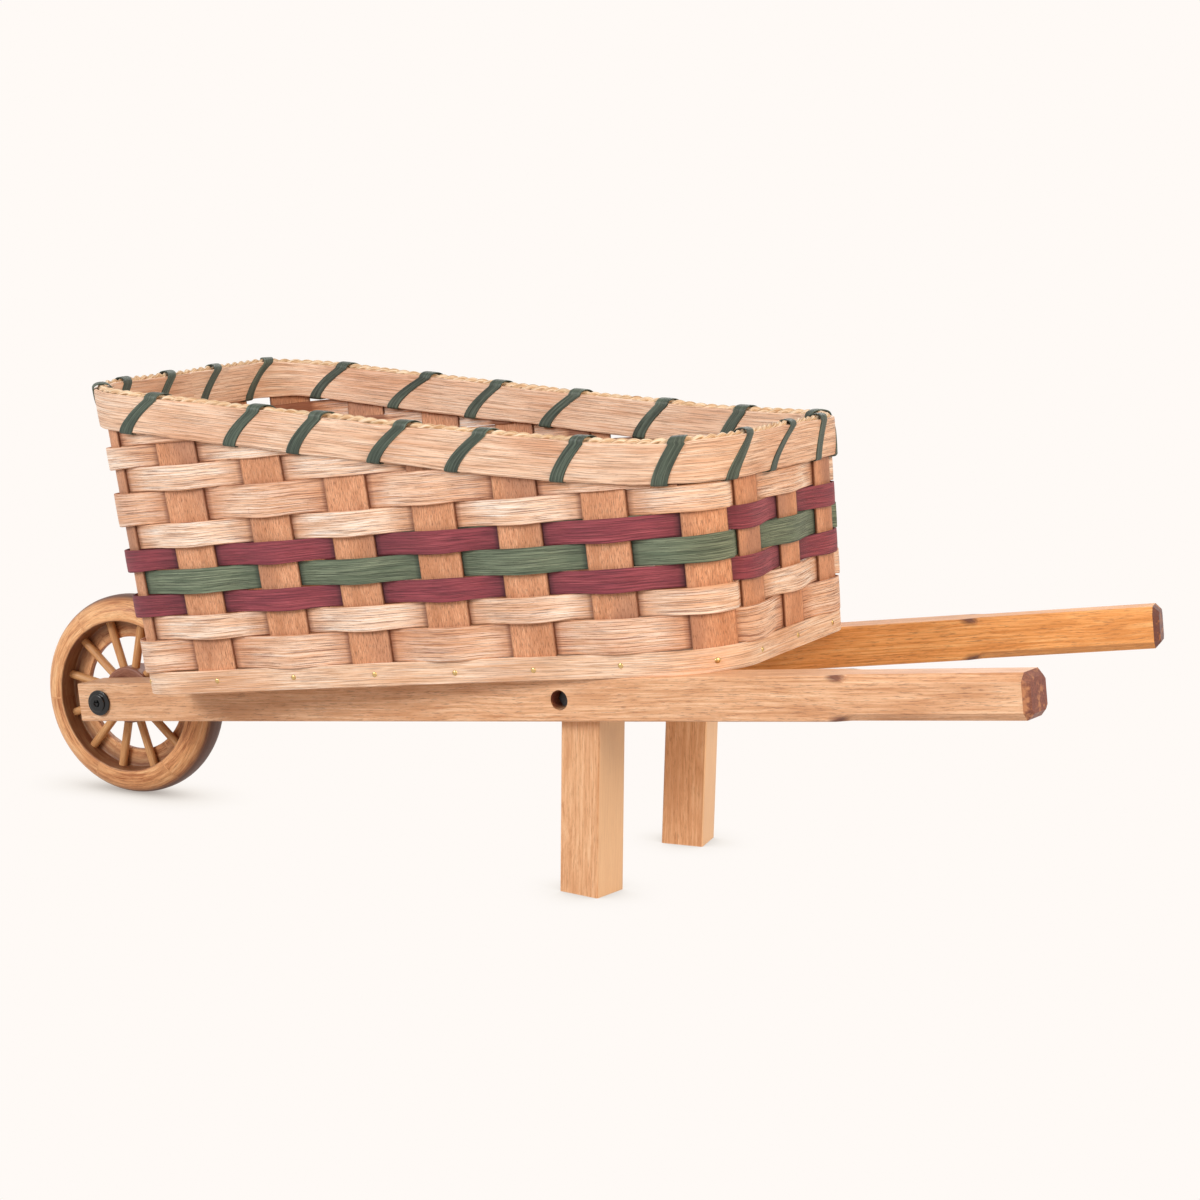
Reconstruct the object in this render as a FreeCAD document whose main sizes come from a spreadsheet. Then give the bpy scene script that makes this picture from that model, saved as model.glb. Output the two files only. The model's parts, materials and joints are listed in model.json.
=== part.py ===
import FreeCAD, Part
import Sketcher
import math
import os
from FreeCAD import Placement, Rotation, Vector

# Wheelbarrow planter: a splint basket nailed round a board, on two splayed rails
# with lapped legs and a twelve-spoke wooden wheel.
# Millimetres. The barrow is built level, with the axle on the Y axis at the origin,
# the wheel towards -X and the handles towards +X. It is then tilted about the axle
# until the feet and the wheel stand on Z = 0, centred over the origin.

doc = FreeCAD.newDocument("WheelbarrowPlanter")
sheet = doc.addObject("Spreadsheet::Sheet", "Sizes")

SIZES = [
    ("rail_stock", 28.6, "square section of a rail"),
    ("rail_edge_ease", 0.8, "chamfer along a rail's edges"),
    ("rail_front_overhang", 22.4, "rail ahead of the axle"),
    ("rail_reach", 761.5, "axle to the handle's end, along the rail"),
    ("rail_half_spread", 44.0, "barrow's centre to a rail's outer face, at the axle"),
    ("rail_splay_angle", 8.36, "each rail's angle to the centre line, in degrees"),
    ("rail_tilt_angle", 7.8, "rails' slope up to the handles, in degrees"),
    ("grip_length", 130.5, "chamfered handle grip"),
    ("grip_chamfer", 5.0, "chamfer on the grip's edges"),
    ("grip_runout", 9.0, "length over which the grip's chamfer starts"),
    ("grip_end_chamfer", 4.0, "chamfer round the handle's end"),
    ("leg_stock", 30.6, "square section of a leg"),
    ("leg_station", 433.5, "leg's centre line, along the rail from the axle"),
    ("leg_setback", 11.4, "leg's outer face behind the rail's outer face"),
    ("leg_top_gap", 0.4, "leg's tongue below the rail's top"),
    ("leg_edge_ease", 0.8, "chamfer along a leg's edges"),
    ("leg_bolt_station", 424.5, "leg bolt, along the rail from the axle"),
    ("leg_bolt_shank", 6.0, "leg bolt's diameter"),
    ("leg_bolt_grip", 11.0, "leg bolt's length in the leg"),
    ("leg_bolt_head_size", 10.0, "leg bolt's hexagon, across flats"),
    ("leg_bolt_head_height", 4.0, "leg bolt's head"),
    ("leg_counterbore", 13.5, "counterbore over the leg bolt, diameter"),
    ("leg_counterbore_depth", 12.0, "counterbore's depth"),
    ("hole_clearance", 0.1, "gap round a pin, screw or spoke in its hole"),
    ("wheel_radius", 76.2, "six inch wheel"),
    ("wheel_width", 33.4, "wheel's width over the rim"),
    ("tread_round", 15.2, "rounding of the tread's edges"),
    ("rim_recess_radius", 57.2, "wall of the rim's recess"),
    ("web_depth", 15.4, "web's front face behind the rim's front face"),
    ("web_thickness", 5.5, "ring of wood behind the spokes"),
    ("web_bore_radius", 43.5, "open middle of the web"),
    ("spoke_diameter", 6.35, "quarter inch dowel"),
    ("spoke_count", 12, "spokes"),
    ("spoke_first_angle", 12.5, "first spoke above the rails' line, in degrees"),
    ("spoke_web_gap", 0.3, "gap between a spoke and the web"),
    ("spoke_rim_seat", 6.0, "spoke's length in the rim"),
    ("spoke_hub_seat", 7.0, "spoke's length in the hub"),
    ("hub_diameter", 43.0, "hub"),
    ("hub_width", 22.0, "hub along the axle"),
    ("axle_diameter", 7.94, "five sixteenths inch rod"),
    ("axle_running_gap", 0.05, "gap between the rod and the hub's bore"),
    ("axle_hole_gap", 0.13, "gap between the rod and the rail's hole"),
    ("cap_flange_diameter", 19.2, "black axle cap's flange"),
    ("cap_flange_height", 1.8, "cap's flange"),
    ("cap_disc_diameter", 13.0, "cap's raised disc"),
    ("cap_disc_height", 2.2, "cap's raised disc"),
    ("cap_socket_size", 5.0, "cap's hexagon socket, across flats"),
    ("cap_socket_depth", 2.4, "cap's hexagon socket"),
    ("cap_sleeve_wall", 1.0, "wall of the sleeve that the rod screws into"),
    ("cap_sleeve_length", 14.0, "cap's sleeve"),
    ("cap_end_gap", 1.0, "gap past the rod's end in the cap"),
    ("board_thickness", 12.7, "basket's bottom board"),
    ("board_corner_ease", 4.0, "board's corners are this much rounder than the wall"),
    ("board_front_station", 150.0, "front pair of board screws, along the rails"),
    ("board_back_station", 372.0, "back pair of board screws, along the rails"),
    ("screw_shank", 4.2, "board screw's diameter"),
    ("screw_head", 8.4, "board screw's head, diameter"),
    ("screw_head_height", 2.6, "board screw's head"),
    ("screw_bite", 18.0, "board screw's length in the rail"),
    ("basket_front", 89.0, "foot of the wall at the wheel end, from the axle"),
    ("basket_length", 456.6, "length at the foot, along the middle of the wall"),
    ("basket_half_width", 110.4, "half width at the foot"),
    ("wheel_foot_radius", 26.0, "plan radius of the wheel end's corners at the foot"),
    ("handle_foot_radius", 42.0, "plan radius of the handle end's corners at the foot"),
    ("wall_draw_height", 216.0, "height at which the flares are measured"),
    ("front_flare", 9.0, "wheel end wall leans out"),
    ("back_flare", 7.0, "handle end wall leans out"),
    ("front_side_flare", 19.0, "side walls lean out at the wheel end"),
    ("back_side_flare", 11.0, "side walls lean out at the handle end"),
    ("wheel_top_radius", 44.0, "plan radius of the wheel end's corners at the draw height"),
    ("handle_top_radius", 50.0, "plan radius of the handle end's corners at the draw height"),
    ("stake_width", 32.0, "upright splint"),
    ("stake_thickness", 1.6, "upright splint"),
    ("weaver_thickness", 1.0, "woven splint"),
    ("weaver_hold", 1.6, "weaver's centre off the middle of the wall where it passes a stake"),
    ("weaver_gap", 0.4, "gap between rows"),
    ("weaver_wide", 22.4, "wide splint"),
    ("weaver_medium", 16.8, "medium splint"),
    ("weaver_narrow", 14.8, "narrow splint"),
    ("strip_height", 16.0, "nailed strip round the foot"),
    ("strip_thickness", 1.6, "nailed strip"),
    ("part_gap", 0.1, "gap between splints that lie on each other"),
    ("pin_head", 3.4, "brass pin's head, diameter"),
    ("pin_head_height", 0.7, "brass pin's head"),
    ("pin_shank", 1.2, "brass pin's square shank"),
    ("pin_length", 11.0, "brass pin's shank"),
    ("rim_low_rise", 147.6, "rim's top over the board's underside, handle end"),
    ("rim_slope", 0.187, "rise of the rim per length towards the wheel"),
    ("rim_ease", 88.0, "length over which the slope starts"),
    ("rim_far_rise", 7.0, "far side of the rim over its near side, towards the wheel"),
    ("rim_band_height", 26.5, "rim band"),
    ("rim_band_thickness", 2.6, "rim band"),
    ("rim_band_bevel", 0.9, "bevel on a rim band's outer edges"),
    ("rim_seat", 3.0, "rim band's inner face off the middle of the wall"),
    ("rope_radius", 2.4, "filler rope on top of the rim"),
    ("rope_sink", 0.6, "rope's centre below the bands' top"),
    ("stake_top_drop", 4.0, "stakes' tops below the rim's top"),
    ("lash_width", 10.5, "green lashing, measured along the rim"),
    ("lash_thickness", 0.8, "green lashing"),
    ("lash_gap", 0.5, "gap between the lashing and the rim"),
    ("lash_slot_height", 2.8, "slot in the weave that the lashing passes"),
    ("cut_overrun", 2.0, "how far a cut runs past what it cuts"),
]

for row, (alias, number, note) in enumerate(SIZES, start=1):
    sheet.set("A%d" % row, note)
    sheet.set("B%d" % row, str(number))
    sheet.setAlias("B%d" % row, alias)
doc.recompute()


def size(alias):
    """A driving dimension, read from the spreadsheet."""
    return float(sheet.get(alias))


# Places of the stakes of half the wall, of which the far side mirrors the rest. Each
# place counts stretches of the outline: the middle of the wheel end is at 0, the middle
# of its corner at 1, that of the handle end's corner at 2 and that of the handle end at 3.
stake_shares = [0.0, 0.49, 1.0, 1.143, 1.289, 1.43, 1.573, 1.711, 1.851, 2.0, 2.38, 3.0]
HALF_STAKES = len(stake_shares) - 1
STAKES = 2 * HALF_STAKES

# Rows of the weave from the bottom: width and place of the first stake that a row
# passes outside. Rows past the seventh run only round the wheel end, up to a stake.
ROWS = [
    ("weaver_wide", 0, None),
    ("weaver_medium", 1, None),
    ("weaver_narrow", 0, None),
    ("weaver_medium", 1, None),
    ("weaver_narrow", 0, None),
    ("weaver_medium", 1, None),
    ("weaver_wide", 0, None),
    ("weaver_medium", 1, 6),
    ("weaver_narrow", 0, 5),
    ("weaver_narrow", 1, 4),
]
# Parts of a stake's pitch between stations at the corners, and levels of a corner stake.
CORNER_PARTS = 4
PLACE_DIGITS = 4
BAND_PARTS = 8
STAKE_LEVELS = 8
LASH_STEPS = 3
SPOKE_SIDES = 8
SCREW_SIDES = 8
TREAD_FACETS = 2
PIN_SIDES = 6
pin_top_share = 0.5
part_share = 0.05
lash_low_share = 0.45
lash_top_share = 0.5
lash_turn_share = 0.03

splay = math.radians(size("rail_splay_angle"))
tilt = math.radians(size("rail_tilt_angle"))
deck = size("rail_stock") / 2


# Placements

handle_point = size("rail_reach") * math.cos(splay)
handle_point += (size("rail_stock") - size("grip_end_chamfer")) * math.sin(splay)
handle_front = handle_point * math.cos(tilt) + (deck - size("grip_end_chamfer")) * math.sin(tilt)
middle = (handle_front - size("wheel_radius")) / 2
barrow = Placement(
    Vector(-middle, 0, size("wheel_radius")),
    Rotation(Vector(0, 1, 0), -size("rail_tilt_angle")),
)
near_rail_frame = barrow * Placement(
    Vector(0, -size("rail_half_spread"), 0),
    Rotation(Vector(0, 0, 1), -size("rail_splay_angle")),
)
leg_frame = near_rail_frame * Placement(
    Vector(size("leg_station"), 0, 0),
    Rotation(Vector(0, 1, 0), size("rail_tilt_angle")),
)
wheel_frame = barrow * Placement(
    Vector(0, 0, 0),
    Rotation(Vector(0, 1, 0), -size("spoke_first_angle")),
)
# Turns a cylinder's own Z axis to the barrow's Y axis.
along_y = Rotation(Vector(1, 0, 0), -90)


# Sketch helpers


def add_sketch(body, role, label, offset=None):
    """A sketch on one of the body's own origin planes, with an offset along its normal."""
    sketch = body.newObject("Sketcher::SketchObject", label)
    plane = [item for item in body.Origin.OriginFeatures if item.Role == role][0]
    sketch.AttachmentSupport = [(plane, "")]
    sketch.MapMode = "FlatFace"
    if offset:
        sketch.setExpression("AttachmentOffset.Base.z", offset)
    return sketch


def bind(sketch, kind, geometry, position, name, expression):
    """A distance from the sketch's origin, bound to the spreadsheet."""
    index = sketch.addConstraint(Sketcher.Constraint(kind, -1, 1, geometry, position, 1.0))
    sketch.renameConstraint(index, name)
    sketch.setExpression("Constraints." + name, expression)


def add_outline(sketch, corners):
    """A closed outline of straight lines, each corner bound in both directions."""
    first = sketch.GeometryCount
    count = len(corners)
    for i in range(count):
        here = 2 * math.pi * i / count
        after = 2 * math.pi * (i + 1) / count
        start = Vector(math.cos(here), math.sin(here), 0)
        end = Vector(math.cos(after), math.sin(after), 0)
        sketch.addGeometry(Part.LineSegment(start, end))
    for i in range(count):
        after = first + (i + 1) % count
        sketch.addConstraint(Sketcher.Constraint("Coincident", first + i, 2, after, 1))
    for i, (across, up) in enumerate(corners):
        bind(sketch, "DistanceX", first + i, 1, "across_%d" % (first + i), across)
        bind(sketch, "DistanceY", first + i, 1, "up_%d" % (first + i), up)


def add_circle(sketch, across, up, diameter):
    """A circle with its centre and diameter bound to the spreadsheet."""
    index = sketch.addGeometry(Part.Circle(Vector(1, 1, 0), Vector(0, 0, 1), 1))
    bind(sketch, "DistanceX", index, 3, "across_%d" % index, across)
    bind(sketch, "DistanceY", index, 3, "up_%d" % index, up)
    constraint = sketch.addConstraint(Sketcher.Constraint("Diameter", index, 1.0))
    sketch.renameConstraint(constraint, "diameter_%d" % index)
    sketch.setExpression("Constraints.diameter_%d" % index, diameter)


def many_sided(across, up, diameter, sides):
    """Corners of a hole with as many sides, each of which touches a circle of the diameter."""
    corners = []
    for i in range(sides):
        reach = "(%s) / 2 / cos(%g)" % (diameter, 180 / sides)
        angle = 360 * (i + 0.5) / sides
        corners.append((
            "%s + %s * cos(%g)" % (across, reach, angle),
            "%s + %s * sin(%g)" % (up, reach, angle),
        ))
    return corners


def add_body(label, placement):
    body = doc.addObject("PartDesign::Body", label)
    body.Placement = placement
    return body


def pad(body, sketch, length, reverse=False):
    feature = body.newObject("PartDesign::Pad", sketch.Label + "_pad")
    feature.Profile = sketch
    feature.Reversed = reverse
    feature.setExpression("Length", length)
    doc.recompute()
    return feature


def pocket(body, sketch, length, reverse=False):
    """A pocket that has to take wood away."""
    before = body.Shape.Volume
    feature = body.newObject("PartDesign::Pocket", sketch.Label + "_pocket")
    feature.Profile = sketch
    feature.Reversed = reverse
    feature.setExpression("Length", length)
    doc.recompute()
    if not body.Shape.Volume < before:
        raise RuntimeError(sketch.Label + " cuts nothing")
    return feature


def chamfer(body, base, edges, expression):
    feature = body.newObject("PartDesign::Chamfer", body.Label + "_chamfer")
    feature.Base = (base, edges)
    feature.setExpression("Size", expression)
    doc.recompute()
    return feature


def fillet(body, base, edges, expression):
    feature = body.newObject("PartDesign::Fillet", body.Label + "_fillet")
    feature.Base = (base, edges)
    feature.setExpression("Radius", expression)
    doc.recompute()
    return feature


def turned(label, placement, corners):
    """A piece turned about its own Y axis from an outline of radius and place."""
    body = add_body(label, placement)
    sketch = add_sketch(body, "XY_Plane", label + "_profile")
    add_outline(sketch, corners)
    feature = body.newObject("PartDesign::Revolution", label + "_turning")
    feature.Profile = sketch
    feature.ReferenceAxis = (sketch, ["V_Axis"])
    feature.Angle = 360
    doc.recompute()
    return body, feature


def cylinder(label, placement, radius, height):
    piece = doc.addObject("Part::Cylinder", label)
    piece.setExpression("Radius", radius)
    piece.setExpression("Height", height)
    piece.Placement = placement
    return piece


def prism(label, placement, sides, diameter, height):
    """A many-sided rod, its corners on a circle of the diameter."""
    piece = doc.addObject("Part::Prism", label)
    piece.Polygon = sides
    piece.setExpression("Circumradius", "(%s) / 2" % diameter)
    piece.setExpression("Height", height)
    piece.Placement = placement
    return piece


def group(label, members):
    """Separate solids that share a node."""
    compound = doc.addObject("Part::Compound", label)
    compound.Links = members
    return compound


def cut(label, base, tool):
    piece = doc.addObject("Part::Cut", label)
    piece.Base = base
    piece.Tool = tool
    return piece


def mirror(label, source):
    """The far piece, which mirrors the near one in the barrow's middle plane."""
    piece = doc.addObject("Part::Mirroring", label)
    piece.Source = source
    piece.Normal = Vector(0, 1, 0)
    return piece


# Rails


def corner_triangle(side, top, width):
    """Outline that takes a chamfer off one long edge of the rail, with an overrun."""
    over = "Sizes.cut_overrun"
    edge = "0" if side < 0 else "Sizes.rail_stock"
    rise = "Sizes.rail_stock / 2"
    across_out = "%s %s %s" % (edge, "-" if side < 0 else "+", over)
    across_in = "%s %s (%s + %s)" % (edge, "+" if side < 0 else "-", width, over)
    up_out = "%s(%s + %s)" % ("" if top > 0 else "-", rise, over)
    up_in = "%s(%s - %s - %s)" % ("" if top > 0 else "-", rise, width, over)
    return [(across_out, up_out), (across_in, up_out), (across_out, up_in)]


def make_near_rail():
    """Square rail with a chamfered grip, a counterbore for the leg bolt and pilot holes."""
    body = add_body("near_rail_blank", near_rail_frame)
    section = add_sketch(body, "YZ_Plane", "rail_section", "-Sizes.rail_front_overhang")
    half, wide, ease = "Sizes.rail_stock / 2", "Sizes.rail_stock", "Sizes.rail_edge_ease"
    add_outline(section, [
        (ease, "-" + half),
        ("%s - %s" % (wide, ease), "-" + half),
        (wide, "-%s + %s" % (half, ease)),
        (wide, "%s - %s" % (half, ease)),
        ("%s - %s" % (wide, ease), half),
        (ease, half),
        ("0", "%s - %s" % (half, ease)),
        ("0", "-%s + %s" % (half, ease)),
    ])
    pad(body, section, "Sizes.rail_front_overhang + Sizes.rail_reach")
    start = "Sizes.rail_reach - Sizes.grip_length"
    full = start + " + Sizes.grip_runout"
    corners = [(side, top) for side in (-1, 1) for top in (-1, 1)]
    for number, (side, top) in enumerate(corners):
        small = add_sketch(body, "YZ_Plane", "grip_start_%d" % number, start)
        add_outline(small, corner_triangle(side, top, ease))
        large = add_sketch(body, "YZ_Plane", "grip_full_%d" % number, full)
        add_outline(large, corner_triangle(side, top, "Sizes.grip_chamfer"))
        doc.recompute()
        runout = body.newObject("PartDesign::SubtractiveLoft", "grip_runout_%d" % number)
        runout.Profile = small
        runout.Sections = [large]
        runout.Ruled = True
        doc.recompute()
    grip = add_sketch(body, "YZ_Plane", "grip_chamfers", full)
    for side, top in corners:
        add_outline(grip, corner_triangle(side, top, "Sizes.grip_chamfer"))
    cut_grip = pocket(body, grip, "Sizes.grip_length", reverse=True)
    reach = max(vertex.X for vertex in cut_grip.Shape.Vertexes)
    end_face = ""
    for i, face in enumerate(cut_grip.Shape.Faces, start=1):
        if min(vertex.X for vertex in face.Vertexes) > reach - size("rail_edge_ease"):
            end_face = "Face%d" % i
    chamfer(body, cut_grip, [end_face], "Sizes.grip_end_chamfer")
    counterbore = add_sketch(body, "XZ_Plane", "leg_bolt_counterbore")
    add_circle(counterbore, "Sizes.leg_bolt_station", "0", "Sizes.leg_counterbore")
    pocket(body, counterbore, "Sizes.leg_counterbore_depth")
    bolt_hole = add_sketch(body, "XZ_Plane", "leg_bolt_hole")
    shank = "Sizes.leg_bolt_shank + 2 * Sizes.hole_clearance"
    add_circle(bolt_hole, "Sizes.leg_bolt_station", "0", shank)
    pocket(body, bolt_hole, "Sizes.rail_stock + Sizes.cut_overrun")
    pilots = add_sketch(body, "XY_Plane", "board_screw_pilots", "Sizes.rail_stock / 2")
    pilot = "Sizes.screw_shank + 2 * Sizes.hole_clearance"
    for station in ("Sizes.board_front_station", "Sizes.board_back_station"):
        add_outline(pilots, many_sided(station, "Sizes.rail_stock / 2", pilot, SCREW_SIDES))
    pocket(body, pilots, "Sizes.screw_bite + Sizes.hole_clearance")
    seat = barrow * Placement(Vector(0, -cap_seat, 0), along_y)
    hole = "Sizes.axle_diameter / 2 + Sizes.axle_hole_gap"
    bore = cylinder("axle_hole", seat, hole, "Sizes.rail_half_spread")
    drilled = cut("near_rail_drilled", body, bore)
    sleeve = "Sizes.axle_diameter / 2 + Sizes.cap_sleeve_wall + Sizes.hole_clearance"
    sleeve_bore = cylinder("cap_sleeve_hole", seat, sleeve, "Sizes.cap_sleeve_length + Sizes.hole_clearance")
    return cut("near_rail", drilled, sleeve_bore)


# The flange touches the splayed rail at its edge nearest the handles.
cap_seat = size("rail_half_spread") + size("cap_flange_diameter") / 2 * math.tan(splay)
near_rail = make_near_rail()
far_rail = mirror("far_rail", near_rail)


# Legs


def make_near_leg():
    """Square leg, notched so that a tongue laps the rail's inner face."""
    body = add_body("near_leg_blank", leg_frame)
    half = "Sizes.leg_stock / 2"
    lean = "tan(Sizes.rail_tilt_angle)"
    drop = "Sizes.rail_stock / 2 / cos(Sizes.rail_tilt_angle)"
    foot = "-(Sizes.wheel_radius + Sizes.leg_station * sin(Sizes.rail_tilt_angle) + Sizes.rail_stock)"
    shoulder = add_sketch(body, "XZ_Plane", "leg_below_rail", "-Sizes.leg_setback")
    add_outline(shoulder, [
        ("-" + half, foot),
        (half, foot),
        (half, "%s * %s - %s" % (half, lean, drop)),
        ("-" + half, "-%s * %s - %s" % (half, lean, drop)),
    ])
    pad(body, shoulder, "Sizes.leg_stock", reverse=True)
    tongue = add_sketch(body, "XZ_Plane", "leg_tongue", "-Sizes.rail_stock")
    add_outline(tongue, [
        ("-" + half, "-%s * %s - %s" % (half, lean, drop)),
        (half, "%s * %s - %s" % (half, lean, drop)),
        (half, "%s * %s + %s - Sizes.leg_top_gap" % (half, lean, drop)),
        ("-" + half, "-%s * %s + %s - Sizes.leg_top_gap" % (half, lean, drop)),
    ])
    tongue_depth = "Sizes.leg_setback + Sizes.leg_stock - Sizes.rail_stock"
    padded = pad(body, tongue, tongue_depth, reverse=True)
    edges = []
    for i, edge in enumerate(padded.Shape.Edges, start=1):
        ends = [vertex.Point for vertex in edge.Vertexes]
        upright = abs(ends[0].z - ends[1].z) > abs(ends[0].x - ends[1].x) + abs(ends[0].y - ends[1].y)
        if upright and min(end.z for end in ends) < -size("rail_stock"):
            edges.append("Edge%d" % i)
    chamfer(body, padded, edges, "Sizes.leg_edge_ease")
    hole = add_sketch(body, "XZ_Plane", "leg_bolt_pilot", "-Sizes.rail_stock")
    offset = "(Sizes.leg_bolt_station - Sizes.leg_station)"
    across = offset + " * cos(Sizes.rail_tilt_angle)"
    up = offset + " * sin(Sizes.rail_tilt_angle)"
    add_circle(hole, across, up, "Sizes.leg_bolt_shank + 2 * Sizes.hole_clearance")
    pocket(body, hole, "Sizes.leg_bolt_grip + Sizes.hole_clearance")
    ground = doc.addObject("Part::Box", "ground_cut")
    for edge in ("Length", "Width"):
        ground.setExpression(edge, "2 * Sizes.rail_reach")
    ground.setExpression("Height", "Sizes.rail_reach")
    ground.Placement = Placement(
        Vector(-size("rail_reach"), -size("rail_reach"), -size("rail_reach")),
        Rotation(),
    )
    return cut("near_leg", body, ground)


near_leg = make_near_leg()
far_leg = mirror("far_leg", near_leg)


def make_leg_bolts():
    """Hexagon-headed bolts at the bottom of the counterbores, into the legs' tongues."""
    shank_start = near_rail_frame * Placement(
        Vector(size("leg_bolt_station"), size("leg_counterbore_depth"), 0), along_y)
    length = "Sizes.rail_stock - Sizes.leg_counterbore_depth + Sizes.leg_bolt_grip"
    shank = cylinder("leg_bolt_shank_blank", shank_start, "Sizes.leg_bolt_shank / 2", length)
    head_start = size("leg_counterbore_depth") - size("leg_bolt_head_height")
    head_frame = near_rail_frame * Placement(
        Vector(size("leg_bolt_station"), head_start, 0), along_y)
    corners = "2 * Sizes.leg_bolt_head_size / sqrt(3)"
    head = prism("leg_bolt_head_blank", head_frame, 6, corners, "Sizes.leg_bolt_head_height")
    bolt = doc.addObject("Part::Fuse", "near_leg_bolt")
    bolt.Base = head
    bolt.Tool = shank
    return group("leg_bolts", [bolt, mirror("far_leg_bolt", bolt)])


leg_bolts = make_leg_bolts()


# Wheel

web_front = "(Sizes.web_depth - Sizes.wheel_width / 2)"
web_back = "(Sizes.web_depth + Sizes.web_thickness - Sizes.wheel_width / 2)"
spoke_place = web_front + " - Sizes.spoke_diameter / 2 - Sizes.spoke_web_gap"


def add_spoke_sockets(body, label, start, length, reverse):
    """Radial holes for the spokes, repeated round the wheel."""
    sketch = add_sketch(body, "YZ_Plane", label, start)
    socket_size = "Sizes.spoke_diameter + 2 * Sizes.hole_clearance"
    add_outline(sketch, many_sided(spoke_place, "0", socket_size, SPOKE_SIDES))
    socket = pocket(body, sketch, length, reverse)
    pattern = body.newObject("PartDesign::PolarPattern", label + "_pattern")
    pattern.Originals = [socket]
    axis = [item for item in body.Origin.OriginFeatures if item.Role == "Y_Axis"][0]
    pattern.Axis = (axis, [""])
    pattern.Angle = 360
    pattern.setExpression("Occurrences", "Sizes.spoke_count")
    body.Tip = pattern
    doc.recompute()


def make_wheel_rim():
    """Turned rim: tread rounded in flats, a recess on each face and a thin web between."""
    inner, half = "Sizes.rim_recess_radius", "Sizes.wheel_width / 2"
    tread = []
    for step in range(TREAD_FACETS + 1):
        angle = 90 * step / TREAD_FACETS
        radius = "Sizes.wheel_radius - Sizes.tread_round * (1 - cos(%g))" % angle
        side = "(%s - Sizes.tread_round * (1 - sin(%g)))" % (half, angle)
        tread = [(radius, "-" + side)] + tread + [(radius, side)]
    body, _ = turned("wheel_rim", wheel_frame, [(inner, "-" + half)] + tread + [
        (inner, half),
        (inner, web_back),
        ("Sizes.web_bore_radius", web_back),
        ("Sizes.web_bore_radius", web_front),
        (inner, web_front),
    ])
    start = "Sizes.rim_recess_radius - Sizes.cut_overrun"
    length = "Sizes.spoke_rim_seat + Sizes.cut_overrun + Sizes.hole_clearance"
    add_spoke_sockets(body, "rim_sockets", start, length, True)
    return body


def make_wheel_hub():
    """Turned hub, bored to run on the axle rod."""
    bore = "Sizes.axle_diameter / 2 + Sizes.axle_running_gap"
    outer, half = "Sizes.hub_diameter / 2", "Sizes.hub_width / 2"
    corners = [(bore, "-" + half), (outer, "-" + half), (outer, half), (bore, half)]
    body, _ = turned("wheel_hub", wheel_frame, corners)
    start = "Sizes.hub_diameter / 2 + Sizes.cut_overrun"
    length = "Sizes.spoke_hub_seat + Sizes.hole_clearance + Sizes.cut_overrun"
    add_spoke_sockets(body, "hub_sockets", start, length, False)
    return body


def make_wheel_spokes():
    """Dowels from the hub to the rim, in front of the web."""
    web_face = size("web_depth") - size("wheel_width") / 2
    place = web_face - size("spoke_diameter") / 2 - size("spoke_web_gap")
    root = size("hub_diameter") / 2 - size("spoke_hub_seat")
    count = int(size("spoke_count"))
    dowels = []
    for i in range(count):
        turn = Rotation(Vector(0, 1, 0), 360 * i / count)
        out = turn * Rotation(Vector(0, 1, 0), 90)
        foot = turn.multVec(Vector(root, place, 0))
        length = "Sizes.rim_recess_radius + Sizes.spoke_rim_seat"
        length += " - Sizes.hub_diameter / 2 + Sizes.spoke_hub_seat"
        frame = wheel_frame * Placement(foot, out)
        dowels.append(prism("spoke_%02d" % (i + 1), frame, SPOKE_SIDES, "Sizes.spoke_diameter", length))
    return group("wheel_spokes", dowels)


wheel_rim = make_wheel_rim()
wheel_hub = make_wheel_hub()
wheel_spokes = make_wheel_spokes()


# Axle

rod_half = cap_seat - size("cap_end_gap")
axle_rod = doc.addObject("Part::Cylinder", "axle_rod")
axle_rod.setExpression("Radius", "Sizes.axle_diameter / 2")
axle_rod.Height = 2 * rod_half
axle_rod.Placement = barrow * Placement(Vector(0, -rod_half, 0), along_y)


def make_axle_caps():
    """Black cap nuts: flange, raised disc with a hexagon socket, and a sleeve on the rod."""
    frame = barrow * Placement(Vector(0, -cap_seat, 0), Rotation(Vector(0, 0, 1), 180))
    rod = "Sizes.axle_diameter / 2 + Sizes.hole_clearance / 2"
    sleeve = "Sizes.axle_diameter / 2 + Sizes.cap_sleeve_wall"
    flange, disc = "Sizes.cap_flange_diameter / 2", "Sizes.cap_disc_diameter / 2"
    step = "Sizes.cap_flange_height"
    top = "Sizes.cap_flange_height + Sizes.cap_disc_height"
    roof = "-Sizes.cap_end_gap / 2"
    body, _ = turned("near_axle_cap", frame, [
        ("0", roof),
        (rod, roof),
        (rod, "-Sizes.cap_sleeve_length"),
        (sleeve, "-Sizes.cap_sleeve_length"),
        (sleeve, "0"),
        (flange, "0"),
        (flange, step),
        (disc, step),
        (disc, top),
        ("0", top),
    ])
    socket = add_sketch(body, "XZ_Plane", "cap_socket", "-(%s)" % top)
    corners = []
    for i in range(6):
        angle = 60 * i
        across = "Sizes.cap_socket_size / sqrt(3) * cos(%d)" % angle
        up = "Sizes.cap_socket_size / sqrt(3) * sin(%d)" % angle
        corners.append((across, up))
    add_outline(socket, corners)
    pocket(body, socket, "Sizes.cap_socket_depth", reverse=True)
    return group("axle_caps", [body, mirror("far_axle_cap", body)])


axle_caps = make_axle_caps()


# Basket wall


def blend(low, high, share):
    return low + (high - low) * share


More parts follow.
